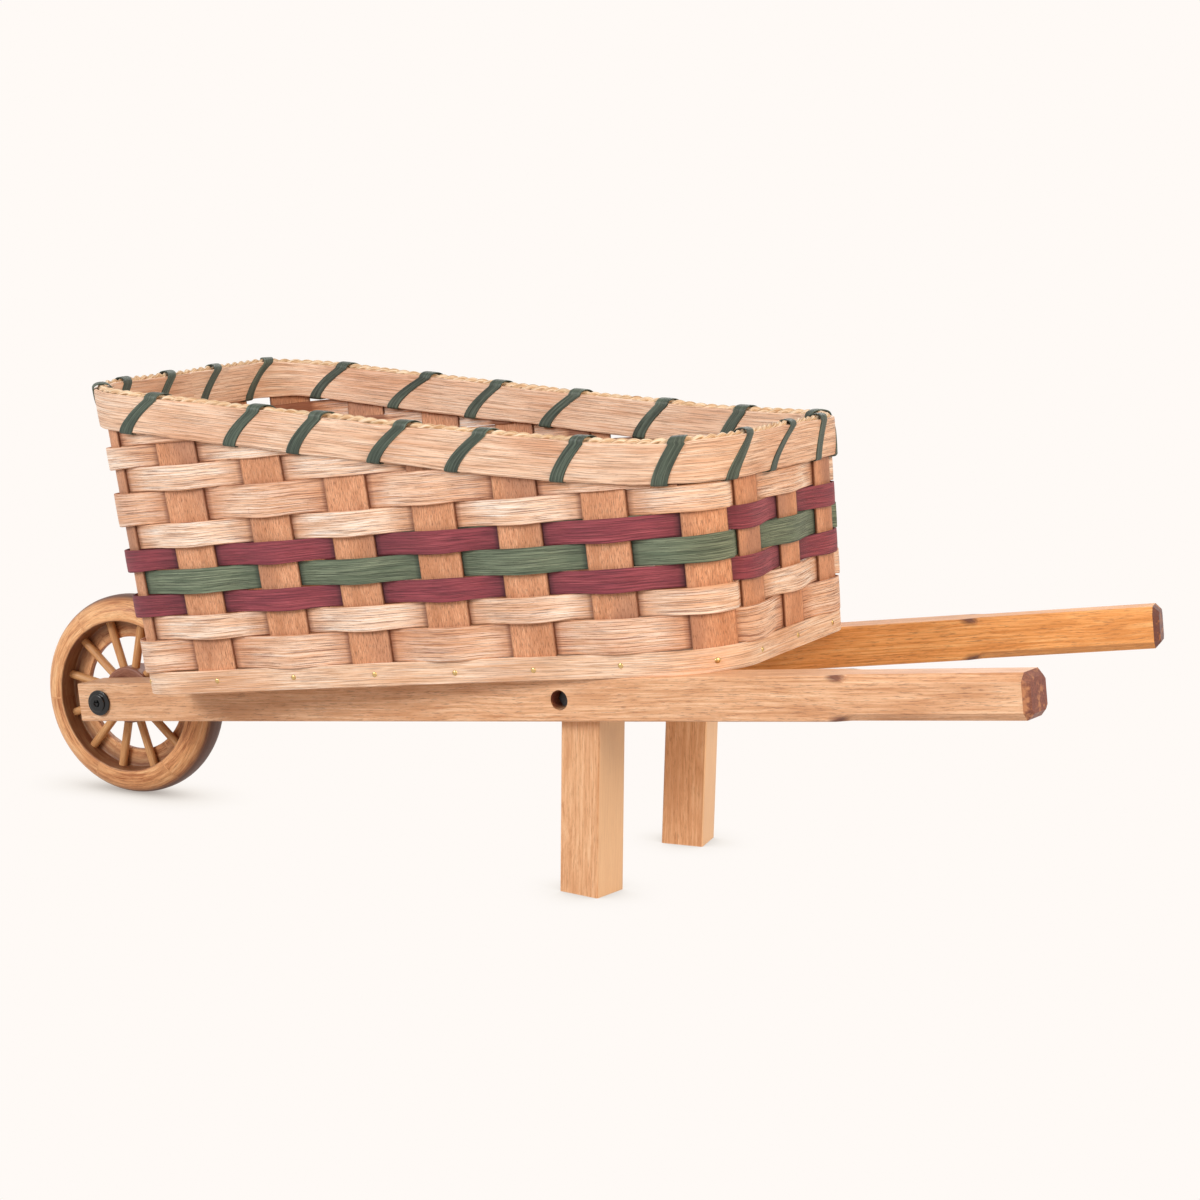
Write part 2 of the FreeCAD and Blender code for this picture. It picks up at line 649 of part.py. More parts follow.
def wall_plan(height):
    """Front, back, half widths and corner radii of the wall at a height above the deck."""
    share = (height - deck) / size("wall_draw_height")
    foot_back = size("basket_front") + size("basket_length")
    front = size("basket_front") - size("front_flare") * share
    back = foot_back + size("back_flare") * share
    front_half = size("basket_half_width") + size("front_side_flare") * share
    back_half = size("basket_half_width") + size("back_side_flare") * share
    front_radius = blend(size("wheel_foot_radius"), size("wheel_top_radius"), share)
    back_radius = blend(size("handle_foot_radius"), size("handle_top_radius"), share)
    return front, back, front_half, back_half, front_radius, back_radius


def outline_share(place):
    """Stretches of the outline at a place counted in stakes, between 0 and 11."""
    index = min(int(place), HALF_STAKES - 1)
    return blend(stake_shares[index], stake_shares[index + 1], place - index)


def wall_point(place, height, offset=0):
    """Point at a place counted in stakes round the wall, moved out along the plan normal.

    The outline runs from the middle of the wheel end along the near side: half the end,
    a corner arc, the side, a corner arc and half the handle end. The far side mirrors it.
    """
    place = place % STAKES
    side = 1
    if place > HALF_STAKES:
        place = STAKES - place
        side = -1
    front, back, front_half, back_half, front_radius, back_radius = wall_plan(height)
    start = Vector(front + front_radius, -front_half, 0)
    end = Vector(back - back_radius, -back_half, 0)
    lengths = [
        front_half - front_radius,
        front_radius * math.pi / 2,
        end.sub(start).Length,
        back_radius * math.pi / 2,
        back_half - back_radius,
    ]
    stretches = [
        lengths[0] + lengths[1] / 2,
        lengths[1] / 2 + lengths[2] + lengths[3] / 2,
        lengths[3] / 2 + lengths[4],
    ]
    share = outline_share(place)
    run = sum(length * min(max(share - i, 0), 1) for i, length in enumerate(stretches))
    part = 0
    while part < len(lengths) - 1 and run > lengths[part]:
        run -= lengths[part]
        part += 1
    if part == 0:
        point, normal = Vector(front, -run, 0), Vector(-1, 0, 0)
    elif part == 1:
        turn = run / front_radius
        normal = Vector(-math.cos(turn), -math.sin(turn), 0)
        point = start.add(Vector(0, front_radius, 0)).add(Vector(normal).multiply(front_radius))
    elif part == 2:
        along = end.sub(start).normalize()
        point = start.add(Vector(along).multiply(run))
        normal = Vector(along.y, -along.x, 0)
    elif part == 3:
        turn = run / back_radius
        normal = Vector(math.sin(turn), -math.cos(turn), 0)
        point = end.add(Vector(0, back_radius, 0)).add(Vector(normal).multiply(back_radius))
    else:
        point, normal = Vector(back, -back_half + back_radius + run, 0), Vector(1, 0, 0)
    point = point.add(Vector(normal).multiply(offset))
    return Vector(point.x, side * point.y, height)


def local_pitch(place, height, side=0):
    """Length of the wall per unit of place, before (-1) or after (1) a place, or across it."""
    before = place if side > 0 else place - part_share
    after = place if side < 0 else place + part_share
    return wall_point(before, height).distanceToPoint(wall_point(after, height)) / (after - before)


def stake_edges(place):
    """Places of a stake's two edges."""
    half = size("stake_width") / 2
    return [round(place + side * half / local_pitch(place, deck, side), PLACE_DIGITS) for side in (-1, 1)]


def rim_top(place):
    """Height of the rim's top at a place round the wall.

    It is level at the handle end, rises towards the wheel, and rises a little more on
    the far side.
    """
    low = deck + size("rim_low_rise")
    foot_back = size("basket_front") + size("basket_length")
    point = wall_point(place, low)
    away = max(foot_back - point.x, 0)
    far_share = 0.5 + point.y / (2 * size("basket_half_width"))
    rise = size("rim_slope") * (math.hypot(away, size("rim_ease")) - size("rim_ease"))
    return low + rise + size("rim_far_rise") * far_share * away / (away + size("rim_ease"))


# Places, counted in stakes, where a corner of the outline bends, which get closer stations.
corner_shares = [(1.25, 2.75), (8.25, 10.0)]
EDGES = [round(edge % STAKES, PLACE_DIGITS) for place in range(STAKES) for edge in stake_edges(place)]


def in_corner(place):
    folded = min(place % STAKES, STAKES - place % STAKES)
    return any(low <= folded <= high for low, high in corner_shares)


STRAIGHTS = [place for place in range(STAKES) if not in_corner(place)]


def stations(start, end, marks, parts=CORNER_PARTS):
    """Places from start to end: the marks, and at the corners the stakes' edges and equal parts."""
    places = {edge for edge in EDGES if in_corner(edge)}
    for step in range(STAKES * parts):
        place = step / parts
        if in_corner(place) and min(abs(place - edge) for edge in EDGES) > 2 * part_share:
            places.add(place)
    places.update(marks)
    places.update([round(place - STAKES, PLACE_DIGITS) for place in places])
    return sorted({start, end} | {place for place in places if start < place < end})


def triangle(a, b, c):
    return Part.Face(Part.makePolygon([a, b, c, a]))


def ruled_solid(rails, closed):
    """Solid whose long edges are the rails.

    Between each four neighbouring points lie two triangles, split on the shorter diagonal.
    """
    count = len(rails[0])
    steps = count if closed else count - 1
    faces = []
    for a, b in zip(rails, rails[1:] + rails[:1]):
        for i in range(steps):
            j = (i + 1) % count
            if a[i].distanceToPoint(b[j]) < a[j].distanceToPoint(b[i]):
                faces += [triangle(a[i], a[j], b[j]), triangle(a[i], b[j], b[i])]
            else:
                faces += [triangle(a[i], a[j], b[i]), triangle(a[j], b[j], b[i])]
    if not closed:
        half = len(rails) // 2
        for i in (0, count - 1):
            ends = [rail[i] for rail in rails]
            for k in range(half - 1):
                faces.append(triangle(ends[k], ends[k + 1], ends[-2 - k]))
                faces.append(triangle(ends[k], ends[-2 - k], ends[-1 - k]))
    shell = Part.makeShell(faces)
    shell.sewShape()
    solid = Part.makeSolid(shell)
    if solid.Volume < 0:
        solid.reverse()
    return solid


def add_feature(label, shape):
    feature = doc.addObject("Part::Feature", label)
    feature.Shape = shape
    feature.Placement = barrow
    return feature


def make_board():
    """Bottom board with rounded corners, just inside the stakes' feet."""
    body = add_body("bottom_board", barrow)
    sketch = add_sketch(body, "XY_Plane", "board_outline", "Sizes.rail_stock / 2")
    inset = "Sizes.stake_thickness / 2 + Sizes.part_gap"
    front = "Sizes.basket_front + %s" % inset
    back = "Sizes.basket_front + Sizes.basket_length - (%s)" % inset
    side = "(Sizes.basket_half_width - (%s))" % inset
    add_outline(sketch, [(front, "-" + side), (back, "-" + side), (back, side), (front, side)])
    padded = pad(body, sketch, "Sizes.board_thickness")
    middle_x = size("basket_front") + size("basket_length") / 2
    for radius, side in (("Sizes.wheel_foot_radius", -1), ("Sizes.handle_foot_radius", 1)):
        upright = []
        for i, edge in enumerate(padded.Shape.Edges, start=1):
            first, last = edge.Vertexes[0], edge.Vertexes[-1]
            tall = abs(first.Z - last.Z) > size("board_thickness") / 2
            sharp = abs(first.Y) > size("basket_half_width") - size("stake_thickness")
            outer = (first.X - middle_x) * side > size("basket_length") / 2 - size("stake_thickness")
            if tall and sharp and outer:
                upright.append("Edge%d" % i)
        padded = fillet(body, padded, upright, radius + " + Sizes.board_corner_ease")
    holes = add_sketch(body, "XY_Plane", "board_screw_holes", "Sizes.rail_stock / 2")
    top = "Sizes.rail_stock / 2 + Sizes.board_thickness"
    sinks = add_sketch(body, "XY_Plane", "board_screw_sinks", top)
    for station in ("Sizes.board_front_station", "Sizes.board_back_station"):
        across = "%s * cos(Sizes.rail_splay_angle)" % station
        across += " + Sizes.rail_stock / 2 * sin(Sizes.rail_splay_angle)"
        up = "(Sizes.rail_half_spread + %s * sin(Sizes.rail_splay_angle)" % station
        up += " - Sizes.rail_stock / 2 * cos(Sizes.rail_splay_angle))"
        hole_size = "Sizes.screw_shank + 2 * Sizes.hole_clearance"
        sink_size = "Sizes.screw_head + 2 * Sizes.hole_clearance"
        for sign in ("-", ""):
            add_outline(holes, many_sided(across, sign + up, hole_size, SCREW_SIDES))
            add_outline(sinks, many_sided(across, sign + up, sink_size, SCREW_SIDES))
    pocket(body, holes, "Sizes.board_thickness + Sizes.cut_overrun", reverse=True)
    pocket(body, sinks, "Sizes.screw_head_height")
    return body


def make_board_screws():
    """Screws down through the board into the rails, their heads sunk in the board."""
    screws = []
    head_seat = deck + size("board_thickness") - size("screw_head_height")
    for name in ("board_front_station", "board_back_station"):
        place = Vector(size(name), size("rail_stock") / 2, head_seat)
        frame = near_rail_frame * Placement(place, Rotation())
        height = "Sizes.screw_head_height"
        length = "Sizes.board_thickness + Sizes.screw_bite - Sizes.screw_head_height"
        head = prism("screw_head_" + name, frame, SCREW_SIDES, "Sizes.screw_head", height)
        shank_frame = frame * Placement(Vector(0, 0, 0), Rotation(Vector(1, 0, 0), 180))
        shank = prism("screw_shank_" + name, shank_frame, SCREW_SIDES, "Sizes.screw_shank", length)
        screw = doc.addObject("Part::Fuse", "screw_" + name)
        screw.Base = head
        screw.Tool = shank
        screws += [screw, mirror("far_screw_" + name, screw)]
    return group("board_screws", screws)


bottom_board = make_board()
board_screws = make_board_screws()


# Pins through the strip and the stakes into the board

pin_height = deck + size("strip_height") / 2
strip_inside = size("stake_thickness") / 2 + size("part_gap")
strip_outside = strip_inside + size("strip_thickness")
strip_top = deck + size("strip_height")


def square_bar(place, half, start, end):
    """Square bar across the wall at a place, between two offsets from its middle."""
    tip = wall_point(place, pin_height, start)
    far = wall_point(place, pin_height, end)
    out = far.sub(tip).normalize()
    along = Vector(-out.y, out.x, 0).multiply(half)
    up = Vector(0, 0, half)
    ring = [tip.add(along).add(up), tip.sub(along).add(up), tip.sub(along).sub(up), tip.add(along).sub(up)]
    return Part.Face(Part.makePolygon(ring + ring[:1])).extrude(far.sub(tip))


def make_pins():
    """One brass pin in each stake: a low six-sided head, flat on the strip, on a square shank."""
    pins = []
    for place in range(STAKES):
        tail = strip_outside - size("pin_length")
        shank = square_bar(place, size("pin_shank") / 2, tail, strip_outside + size("part_gap"))
        seat = wall_point(place, pin_height, strip_outside + size("part_gap") / 2)
        level = seat.sub(wall_point(place, pin_height)).normalize()
        along = Vector(-level.y, level.x, 0)
        low = wall_point(place, deck, strip_outside)
        lean = wall_point(place, strip_top, strip_outside).sub(low).normalize()
        out = along.cross(lean).normalize()
        if out.dot(level) < 0:
            out = out.negative()
        rings = []
        wide = size("pin_head") / 2
        for rise, radius in ((0, wide), (size("pin_head_height"), wide * pin_top_share)):
            ring = []
            for i in range(PIN_SIDES):
                turn = 2 * math.pi / PIN_SIDES * i
                reach = Vector(along).multiply(radius * math.cos(turn))
                lift = Vector(lean).multiply(radius * math.sin(turn))
                ring.append(seat.add(Vector(out).multiply(rise)).add(reach).add(lift))
            rings.append(Part.makePolygon(ring + ring[:1]))
        head = Part.makeLoft(rings, True, True)
        pins.append(shank.fuse(head).removeSplitter())
    return Part.makeCompound(pins)


pin_holes = []
for place in range(STAKES):
    half = size("pin_shank") / 2 + size("part_gap") / 2
    tail = strip_outside - size("pin_length") - size("part_gap")
    pin_holes.append(square_bar(place, half, tail, strip_outside + size("cut_overrun")))
pin_tool = add_feature("pin_holes", Part.makeCompound(pin_holes))
strip_pins = add_feature("strip_pins", make_pins())


def wall_ring(marks, faces, closed=True, start=0, end=STAKES, parts=CORNER_PARTS):
    """A ring round the wall: each of its faces gives an offset and a height at a place."""
    places = stations(start, end, marks, parts)
    if closed:
        places = places[:-1]
    rails = [[wall_point(place, face(place)[1], face(place)[0]) for place in places] for face in faces]
    return ruled_solid(rails, closed)


nail_strip_blank = add_feature("nail_strip_blank", wall_ring(STRAIGHTS, [
    lambda place: (strip_outside, deck),
    lambda place: (strip_outside, strip_top),
    lambda place: (strip_inside, strip_top),
    lambda place: (strip_inside, deck),
]))
nail_strip = cut("nail_strip", nail_strip_blank, pin_tool)
bored_board = cut("basket_board", bottom_board, pin_tool)


# Lashing slots, cut in the weave and the stakes where the lashing passes under the rim

lash_inside = size("rim_seat") + size("rim_band_thickness") + size("lash_gap")
lash_outside = lash_inside + size("lash_thickness")


def rim_bottom(place):
    return rim_top(place) - size("rim_band_height")


def rim_edge(place, offset, drop):
    """Point under the rim's bottom at a place."""
    return wall_point(place, rim_bottom(place) - drop, offset)


def lash_slots():
    """A slot in the weave under each turn, as steep as the rim there."""
    slots = []
    for turn in range(STAKES):
        place = turn + lash_low_share
        drop = -size("part_gap")
        pitch = local_pitch(place, rim_bottom(place))
        half = (size("lash_width") / 2 + size("lash_gap")) / pitch
        before = rim_edge(place - half, 0, drop)
        along = rim_edge(place + half, 0, drop).sub(before)
        inner = wall_point(place, before.z, -lash_outside)
        out = wall_point(place, before.z, lash_outside).sub(inner)
        start = before.sub(Vector(out).multiply(1 / 2))
        ring = [start, start.add(along), start.add(along).add(out), start.add(out)]
        face = Part.Face(Part.makePolygon(ring + ring[:1]))
        slots.append(face.extrude(Vector(0, 0, -size("lash_slot_height"))))
    return slots


slots = lash_slots()


# Stakes


def stake(place):
    """Upright splint that follows the wall from the deck to just under the rim's top."""
    start, end = stake_edges(place)
    places = stations(start, end, [])
    low = deck + size("part_gap")
    high = min(rim_top(each) for each in places) - size("stake_top_drop")
    skin = size("stake_thickness") / 2
    levels = STAKE_LEVELS if len(places) > 2 else 1
    heights = [blend(low, high, level / levels) for level in range(levels + 1)]
    faces = [(height, skin) for height in heights] + [(height, -skin) for height in reversed(heights)]
    rails = [[wall_point(each, height, side) for each in places] for height, side in faces]
    return ruled_solid(rails, False)


STAKE_GROUPS = [
    ("wheel_end_stakes", [20, 21, 0, 1, 2]),
    ("near_side_stakes", list(range(3, 10))),
    ("handle_end_stakes", [10, 11, 12]),
    ("far_side_stakes", list(range(13, 20))),
]
stake_tool = add_feature("stake_cuts", Part.makeCompound(pin_holes + slots))
stake_nodes = []
for name, places in STAKE_GROUPS:
    blank = add_feature(name + "_blank", Part.makeCompound([stake(place) for place in places]))
    stake_nodes.append(cut(name, blank, stake_tool))


# Weave


def weave_offset(place, over):
    """Distance of a weaver from the wall: out over one stake and in behind the next."""
    below = math.floor(place)
    sign = 1 if (below + over) % 2 == 0 else -1
    leave = stake_edges(below)[1]
    meet = stake_edges(below + 1)[0]
    share = min(max((place - leave) / (meet - leave), 0), 1)
    return sign * size("weaver_hold") * (1 - 2 * share)


def weaver(low, width, over, last):
    """One row of the weave: a whole ring, or a strip round the wheel end up to a stake."""
    skin = size("weaver_thickness") / 2
    high = low + width
    faces = [
        lambda place: (weave_offset(place, over) + skin, low),
        lambda place: (weave_offset(place, over) + skin, high),
        lambda place: (weave_offset(place, over) - skin, high),
        lambda place: (weave_offset(place, over) - skin, low),
    ]
    if last is None:
        return wall_ring(EDGES, faces)
    return wall_ring(EDGES, faces, closed=False, start=-last, end=last)


row_nodes = []
row_low = strip_top + size("weaver_gap") / 2
for number, (alias, over, last) in enumerate(ROWS, start=1):
    row_high = row_low + size(alias)
    shape = weaver(row_low, size(alias), over, last)
    near_slots = [each for each in slots if each.BoundBox.ZMax > row_low and each.BoundBox.ZMin < row_high]
    if near_slots:
        shape = shape.cut(Part.makeCompound(near_slots))
    if shape.ShapeType != "Solid":
        shape = shape.Solids[0]
    row_nodes.append(add_feature("weaver_row_%02d" % number, shape))
    row_low = row_high + size("weaver_gap")


# Rim bands and filler rope


def rim_band(side):
    """Flat hoop round the wall, on its outside (1) or inside (-1), outer edges bevelled."""
    near = size("rim_seat")
    far = near + size("rim_band_thickness")
    bevel = size("rim_band_bevel")
    faces = [
        lambda place: (side * near, rim_bottom(place)),
        lambda place: (side * (far - bevel), rim_bottom(place)),
        lambda place: (side * far, rim_bottom(place) + bevel),
        lambda place: (side * far, rim_top(place) - bevel),
        lambda place: (side * (far - bevel), rim_top(place)),
        lambda place: (side * near, rim_top(place)),
    ]
    return wall_ring(STRAIGHTS, faces, parts=BAND_PARTS)


def rope_face(turn):
    """One long edge of the six-sided filler rope."""
    radius = size("rope_radius")
    sink = size("rope_sink")
    return lambda place: (radius * math.cos(turn), rim_top(place) - sink + radius * math.sin(turn))


outer_rim_band = add_feature("outer_rim_band", rim_band(1))
inner_rim_band = add_feature("inner_rim_band", rim_band(-1))
rope_faces = [rope_face(math.pi / 3 * i) for i in range(6)]
rim_filler_rope = add_feature("rim_filler_rope", wall_ring(STRAIGHTS, rope_faces, parts=BAND_PARTS))


# Lashing


def lash_path():
    """Stations of the lashing: place, side of the wall and share of the rim's height.

    Each of its turns climbs the outer band on the slant, crosses over the rope, comes
    down the inner band on the slant and passes out through the weave's slot.
    """
    path = []
    climb = lash_top_share - lash_turn_share
    for turn in range(STAKES):
        low = turn + lash_low_share
        top = low + lash_top_share
        for step in range(LASH_STEPS + 1):
            path.append((low + climb * step / LASH_STEPS, 1, step / LASH_STEPS))
        path.append((top, 0, 1))
        for step in range(LASH_STEPS + 1):
            place = top + lash_turn_share + climb * step / LASH_STEPS
            path.append((place, -1, 1 - step / LASH_STEPS))
    return path


def lash_points(place, side, share):
    """Inner and outer point of one edge of the lashing."""
    gap, thick = size("lash_gap"), size("lash_thickness")
    if side == 0:
        height = rim_top(place) + size("rope_radius") - size("rope_sink") + gap
        return wall_point(place, height), wall_point(place, height + thick)
    height = blend(rim_bottom(place) - gap, rim_top(place) + gap, share)
    lift = height
    if share == 0:
        lift = height - thick
    if share == 1:
        lift = height + thick
    return wall_point(place, height, side * lash_inside), wall_point(place, lift, side * lash_outside)


def make_lashing():
    """The lashing is one unbroken strip of as many turns as there are stakes."""
    path = lash_path()
    rails = [[], [], [], []]
    for place, side, share in path:
        half = size("lash_width") / 2 / local_pitch(place, rim_top(place))
        inner, outer = lash_points(place - half, side, share)
        rails[0].append(inner)
        rails[1].append(outer)
        inner, outer = lash_points(place + half, side, share)
        rails[2].append(outer)
        rails[3].append(inner)
    middles = [(a + b) * 0.5 for a, b in zip(rails[0], rails[2])]
    turn_stations = len(path) // STAKES
    gap = min(
        a.distanceToPoint(b) for i, a in enumerate(middles) for b in middles[i + turn_stations // 2:]
    )
    print("lashing: turns %d, least distance between its turns %.1f" % (STAKES, gap))
    return ruled_solid(rails, False)


rim_lashing = add_feature("rim_lashing", make_lashing())

doc.recompute()

NODES = {
    "near_rail": near_rail,
    "far_rail": far_rail,
    "near_leg": near_leg,
    "far_leg": far_leg,
    "leg_bolts": leg_bolts,
    "wheel_rim": wheel_rim,
    "wheel_hub": wheel_hub,
    "wheel_spokes": wheel_spokes,
    "axle_rod": axle_rod,
    "axle_caps": axle_caps,
    "basket_board": bored_board,
    "board_screws": board_screws,
    "nail_strip": nail_strip,
    "strip_pins": strip_pins,
    "outer_rim_band": outer_rim_band,
    "inner_rim_band": inner_rim_band,
    "rim_filler_rope": rim_filler_rope,
    "rim_lashing": rim_lashing,
}
NODES.update({node.Label: node for node in stake_nodes})
NODES.update({node.Label: node for node in row_nodes})

for item in doc.Objects:
    if "Invalid" in item.State or "Error" in item.State:
        raise RuntimeError("%s failed: %s" % (item.Label, item.State))
for name, item in NODES.items():
    if item.Shape.isNull() or not item.Shape.isValid():
        raise RuntimeError("%s has no valid shape" % name)

os.makedirs("parts", exist_ok=True)
facets = 0
for name, item in NODES.items():
    item.Shape.exportStep("parts/%s.step" % name)
    copy = item.Shape.copy()
    count = len(copy.tessellate(0.1)[1])
    facets += count
    solids, volume = len(item.Shape.Solids), item.Shape.Volume
    print("%-20s solids %2d volume %10.1f facets %5d" % (name, solids, volume, count))
print("facets in all: %d" % facets)
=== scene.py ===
import json
import math

import bpy
import numpy as np
from mathutils import Euler, Matrix, Vector


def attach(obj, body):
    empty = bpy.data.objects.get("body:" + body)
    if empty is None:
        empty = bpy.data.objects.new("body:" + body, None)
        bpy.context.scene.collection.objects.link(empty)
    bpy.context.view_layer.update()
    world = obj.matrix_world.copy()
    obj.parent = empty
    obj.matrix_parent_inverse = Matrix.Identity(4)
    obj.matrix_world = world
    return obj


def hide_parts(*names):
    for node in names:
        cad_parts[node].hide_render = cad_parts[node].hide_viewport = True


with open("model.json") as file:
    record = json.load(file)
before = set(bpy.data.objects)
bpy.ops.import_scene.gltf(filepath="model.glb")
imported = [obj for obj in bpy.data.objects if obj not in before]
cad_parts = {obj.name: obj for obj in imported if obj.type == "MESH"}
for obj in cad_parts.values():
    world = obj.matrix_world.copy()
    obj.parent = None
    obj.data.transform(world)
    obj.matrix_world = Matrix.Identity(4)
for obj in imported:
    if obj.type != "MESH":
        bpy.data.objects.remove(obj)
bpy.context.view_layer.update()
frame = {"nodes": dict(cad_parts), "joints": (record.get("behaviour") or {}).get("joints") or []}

# Wheelbarrow planter: oiled hardwood rails, legs and wheel, and a basket of flat reed.
# Lengths are millimetres in the barrow's own frame: the origin is on the axle at the
# middle, +X runs to the handles, -Y to the near side and +Z stands square to the rails.

MM = 0.001
TILT = math.radians(7.8)
SPLAY = math.radians(8.36)
AXLE = np.array(frame["joints"][0]["pos_m"])
TURN = np.array([
    [math.cos(TILT), 0, -math.sin(TILT)],
    [0, 1, 0],
    [math.sin(TILT), 0, math.cos(TILT)],
])

# Rails, axle and wheel
RAIL = 28.6
DECK = RAIL / 2
RAIL_HALF_SPREAD = 44.0
RAIL_REACH = 761.5
GRIP_LENGTH = 130.5
CAP_FLANGE_RADIUS = 9.6
CAP_FLANGE_EASE = 0.9
CAP_DISC_RADIUS = 6.5
CAP_DISC_RISE = 4.0
CAP_SEAT = RAIL_HALF_SPREAD + CAP_FLANGE_RADIUS * math.tan(SPLAY)
CAP_SOCKET_FLATS = 5.0
CAP_SOCKET_FLOOR = 1.6
CAP_DEPTH = 14.0
AXLE_RADIUS = 3.97
WHEEL_RADIUS = 76.2
WHEEL_WIDTH = 33.4
TREAD_ROUND = 15.2
RECESS_RADIUS = 57.2
RECESS_EASE = 1.0
WEB_FRONT = 15.4 - WHEEL_WIDTH / 2
WEB_BACK = WEB_FRONT + 5.5
WEB_BORE = 43.5
WEB_FILLET = 1.2
WEB_EASE = 0.6
RIM_PIECES = 6
HUB_RADIUS = 21.5
HUB_WIDTH = 22.0
HUB_EASE = 1.5
SPOKES = 12
SPOKE_RADIUS = 3.175
SPOKE_FIRST_ANGLE = math.radians(12.5)
SPOKE_PLACE = WEB_FRONT - SPOKE_RADIUS - 0.3
SPOKE_SEAT = 6.0

# Basket wall
# Stakes 0 to 11 stand on the near half, and the others mirror them. Their places count
# stretches of the outline: 0 at the middle of the wheel end, 1 at its corner, 2 at the handle
# end's corner and 3 at the middle of the handle end. Flares are counted over DRAW_HEIGHT.
STAKE_SHARES = [
    0.0, 0.49, 1.0, 1.143, 1.289, 1.43, 1.573, 1.711, 1.851, 2.0, 2.38, 3.0,
]
STAKES = 22
BASKET_FRONT = 89.0
BASKET_LENGTH = 456.6
BASKET_HALF_WIDTH = 110.4
WHEEL_CORNER = (26.0, 44.0)
HANDLE_CORNER = (42.0, 50.0)
DRAW_HEIGHT = 216.0
FRONT_FLARE = 9.0
BACK_FLARE = 7.0
FRONT_SIDE_FLARE = 19.0
BACK_SIDE_FLARE = 11.0
STAKE_WIDTH = 32.0
STAKE_THICKNESS = 1.6
STAKE_EDGE = 0.9
WEAVER_THICKNESS = 1.0
WEAVER_GAP = 0.4
WEAVER_BEHIND = 2.25
WEAVER_OUT = 2.4
WEAVER_FREE_OUT = 1.9
WEAVER_DIP = 0.3
WEAVER_FREE_DIP = 0.7
WIDE, MEDIUM, NARROW = 22.4, 16.8, 14.8
STRIP_HEIGHT = 16.0
STRIP_THICKNESS = 1.6
STRIP_MIDDLE = STAKE_THICKNESS / 2 + 0.1 + STRIP_THICKNESS / 2
STRIP_CLEAR = 0.15
PIN_RADIUS = 1.9
PIN_DOME = 0.8

# Rim
RIM_LOW = DECK + 147.6
RIM_SLOPE = 0.187
RIM_EASE = 88.0
RIM_FAR_RISE = 7.0
BAND_HEIGHT = 26.5
BAND_THICKNESS = 2.6
BAND_SEAT = 3.0
ROPE_LAY = 17.0
ROPE_STRANDS = 2
STRAND_RADIUS = 1.9
STRAND_THROW = 1.15
ROPE_SINK = 0.1
ROPE_COVER = 3.9
LASH_WIDTH = 9.6
LASH_THICKNESS = 0.8
LASH_LOW_SHARE = 0.45
LASH_CLIMB_SHARE = 0.47
LASH_TOP_SHARE = 0.06
LASH_CURVE = 1.4
# Drift of each turn from its even place, in stakes, at the band's foot and at the top
LASH_LOW_DRIFT = [
    0.33, 0.12, 0.02, 0.27, 0.03, -0.02, -0.12, 0.09, 0.16, 0.0, 0.05,
    0.25, 0.0, 0.0, -0.18, -0.12, 0.1, 0.09, 0.13, 0.21, 0.35, 0.4,
]
LASH_TOP_DRIFT = [
    0.3, 0.0, -0.04, 0.18, -0.08, -0.1, -0.18, -0.09, -0.12, 0.1, 0.18,
    0.0, 0.1, 0.03, 0.0, 0.13, 0.16, 0.11, 0.24, 0.3, 0.4, 0.4,
]

# Steps of the grids: for each stake's stretch of the wall, once round the wheel, for each lay
# of the rope, and up the side and over the top of the lashing's turns
WALL_STEPS = 16
WEAVE_STEPS = 24
RIM_STEPS = 288
ROPE_STEPS = 14
LASH_SIDE_STEPS = 12
LASH_TOP_STEPS = 15

# From one piece's grain to the next one's, so that no two show the same stretch of it
RIM_GRAIN, SPOKE_GRAIN, STAKE_GRAIN = 400.0, 90.0, 300.0
ROW_GRAIN, BAND_GRAIN, STRAND_GRAIN = 1700.0, 900.0, 2000.0

# Rows of the weave from the bottom: width, the first stake that the row passes outside,
# the stake where a row that only rounds the wheel end stops, and its finish.
ROWS = [
    (WIDE, 0, None, "natural"),
    (MEDIUM, 1, None, "pale"),
    (NARROW, 0, None, "burgundy"),
    (MEDIUM, 1, None, "green"),
    (NARROW, 0, None, "burgundy"),
    (MEDIUM, 1, None, "pale"),
    (WIDE, 0, None, "natural"),
    (MEDIUM, 1, 6.0, "pale"),
    (NARROW, 0, 5.0, "pale"),
    (NARROW, 1, 4.0, "natural"),
]

random = np.random.default_rng(24)


def to_row(points):
    """Barrow millimetres, turned by the tilt and moved to the axle, in metres."""
    return points @ TURN.T * MM + AXLE


def wobble(run, length, size):
    """Smooth uneven line: the sum of five sines whose wavelengths lie round a length."""
    total = np.zeros_like(run, dtype=float)
    for factor in (0.6, 0.85, 1.3, 1.9, 2.7):
        total += np.sin(2 * math.pi * (run / (length * factor) + random.random())) * factor / 3
    return size * total / 1.5


# Basket wall as a formula


def share_of(place):
    """Stretches of the outline, 0 to 6 once round, at a place counted in stakes."""
    half = np.array(STAKE_SHARES)
    shares = np.concatenate([half, 6 - half[-2::-1]])
    return np.interp(place % STAKES, np.arange(STAKES + 1), shares) + 6 * np.floor(place / STAKES)


def half_outline(height):
    """Lengths of the five parts of half the outline, and the plan that they make, at a height:
    each of the plan's measures changes evenly with the height."""
    share = (height - DECK) / DRAW_HEIGHT
    front = BASKET_FRONT - FRONT_FLARE * share
    back = BASKET_FRONT + BASKET_LENGTH + BACK_FLARE * share
    front_half = BASKET_HALF_WIDTH + FRONT_SIDE_FLARE * share
    back_half = BASKET_HALF_WIDTH + BACK_SIDE_FLARE * share
    first, last = (low + (high - low) * share for low, high in (WHEEL_CORNER, HANDLE_CORNER))
    side = np.hypot(back - front - first - last, front_half - back_half)
    lengths = [
        front_half - first, first * math.pi / 2, side, last * math.pi / 2, back_half - last,
    ]
    return lengths, (front, back, front_half, back_half, first, last)


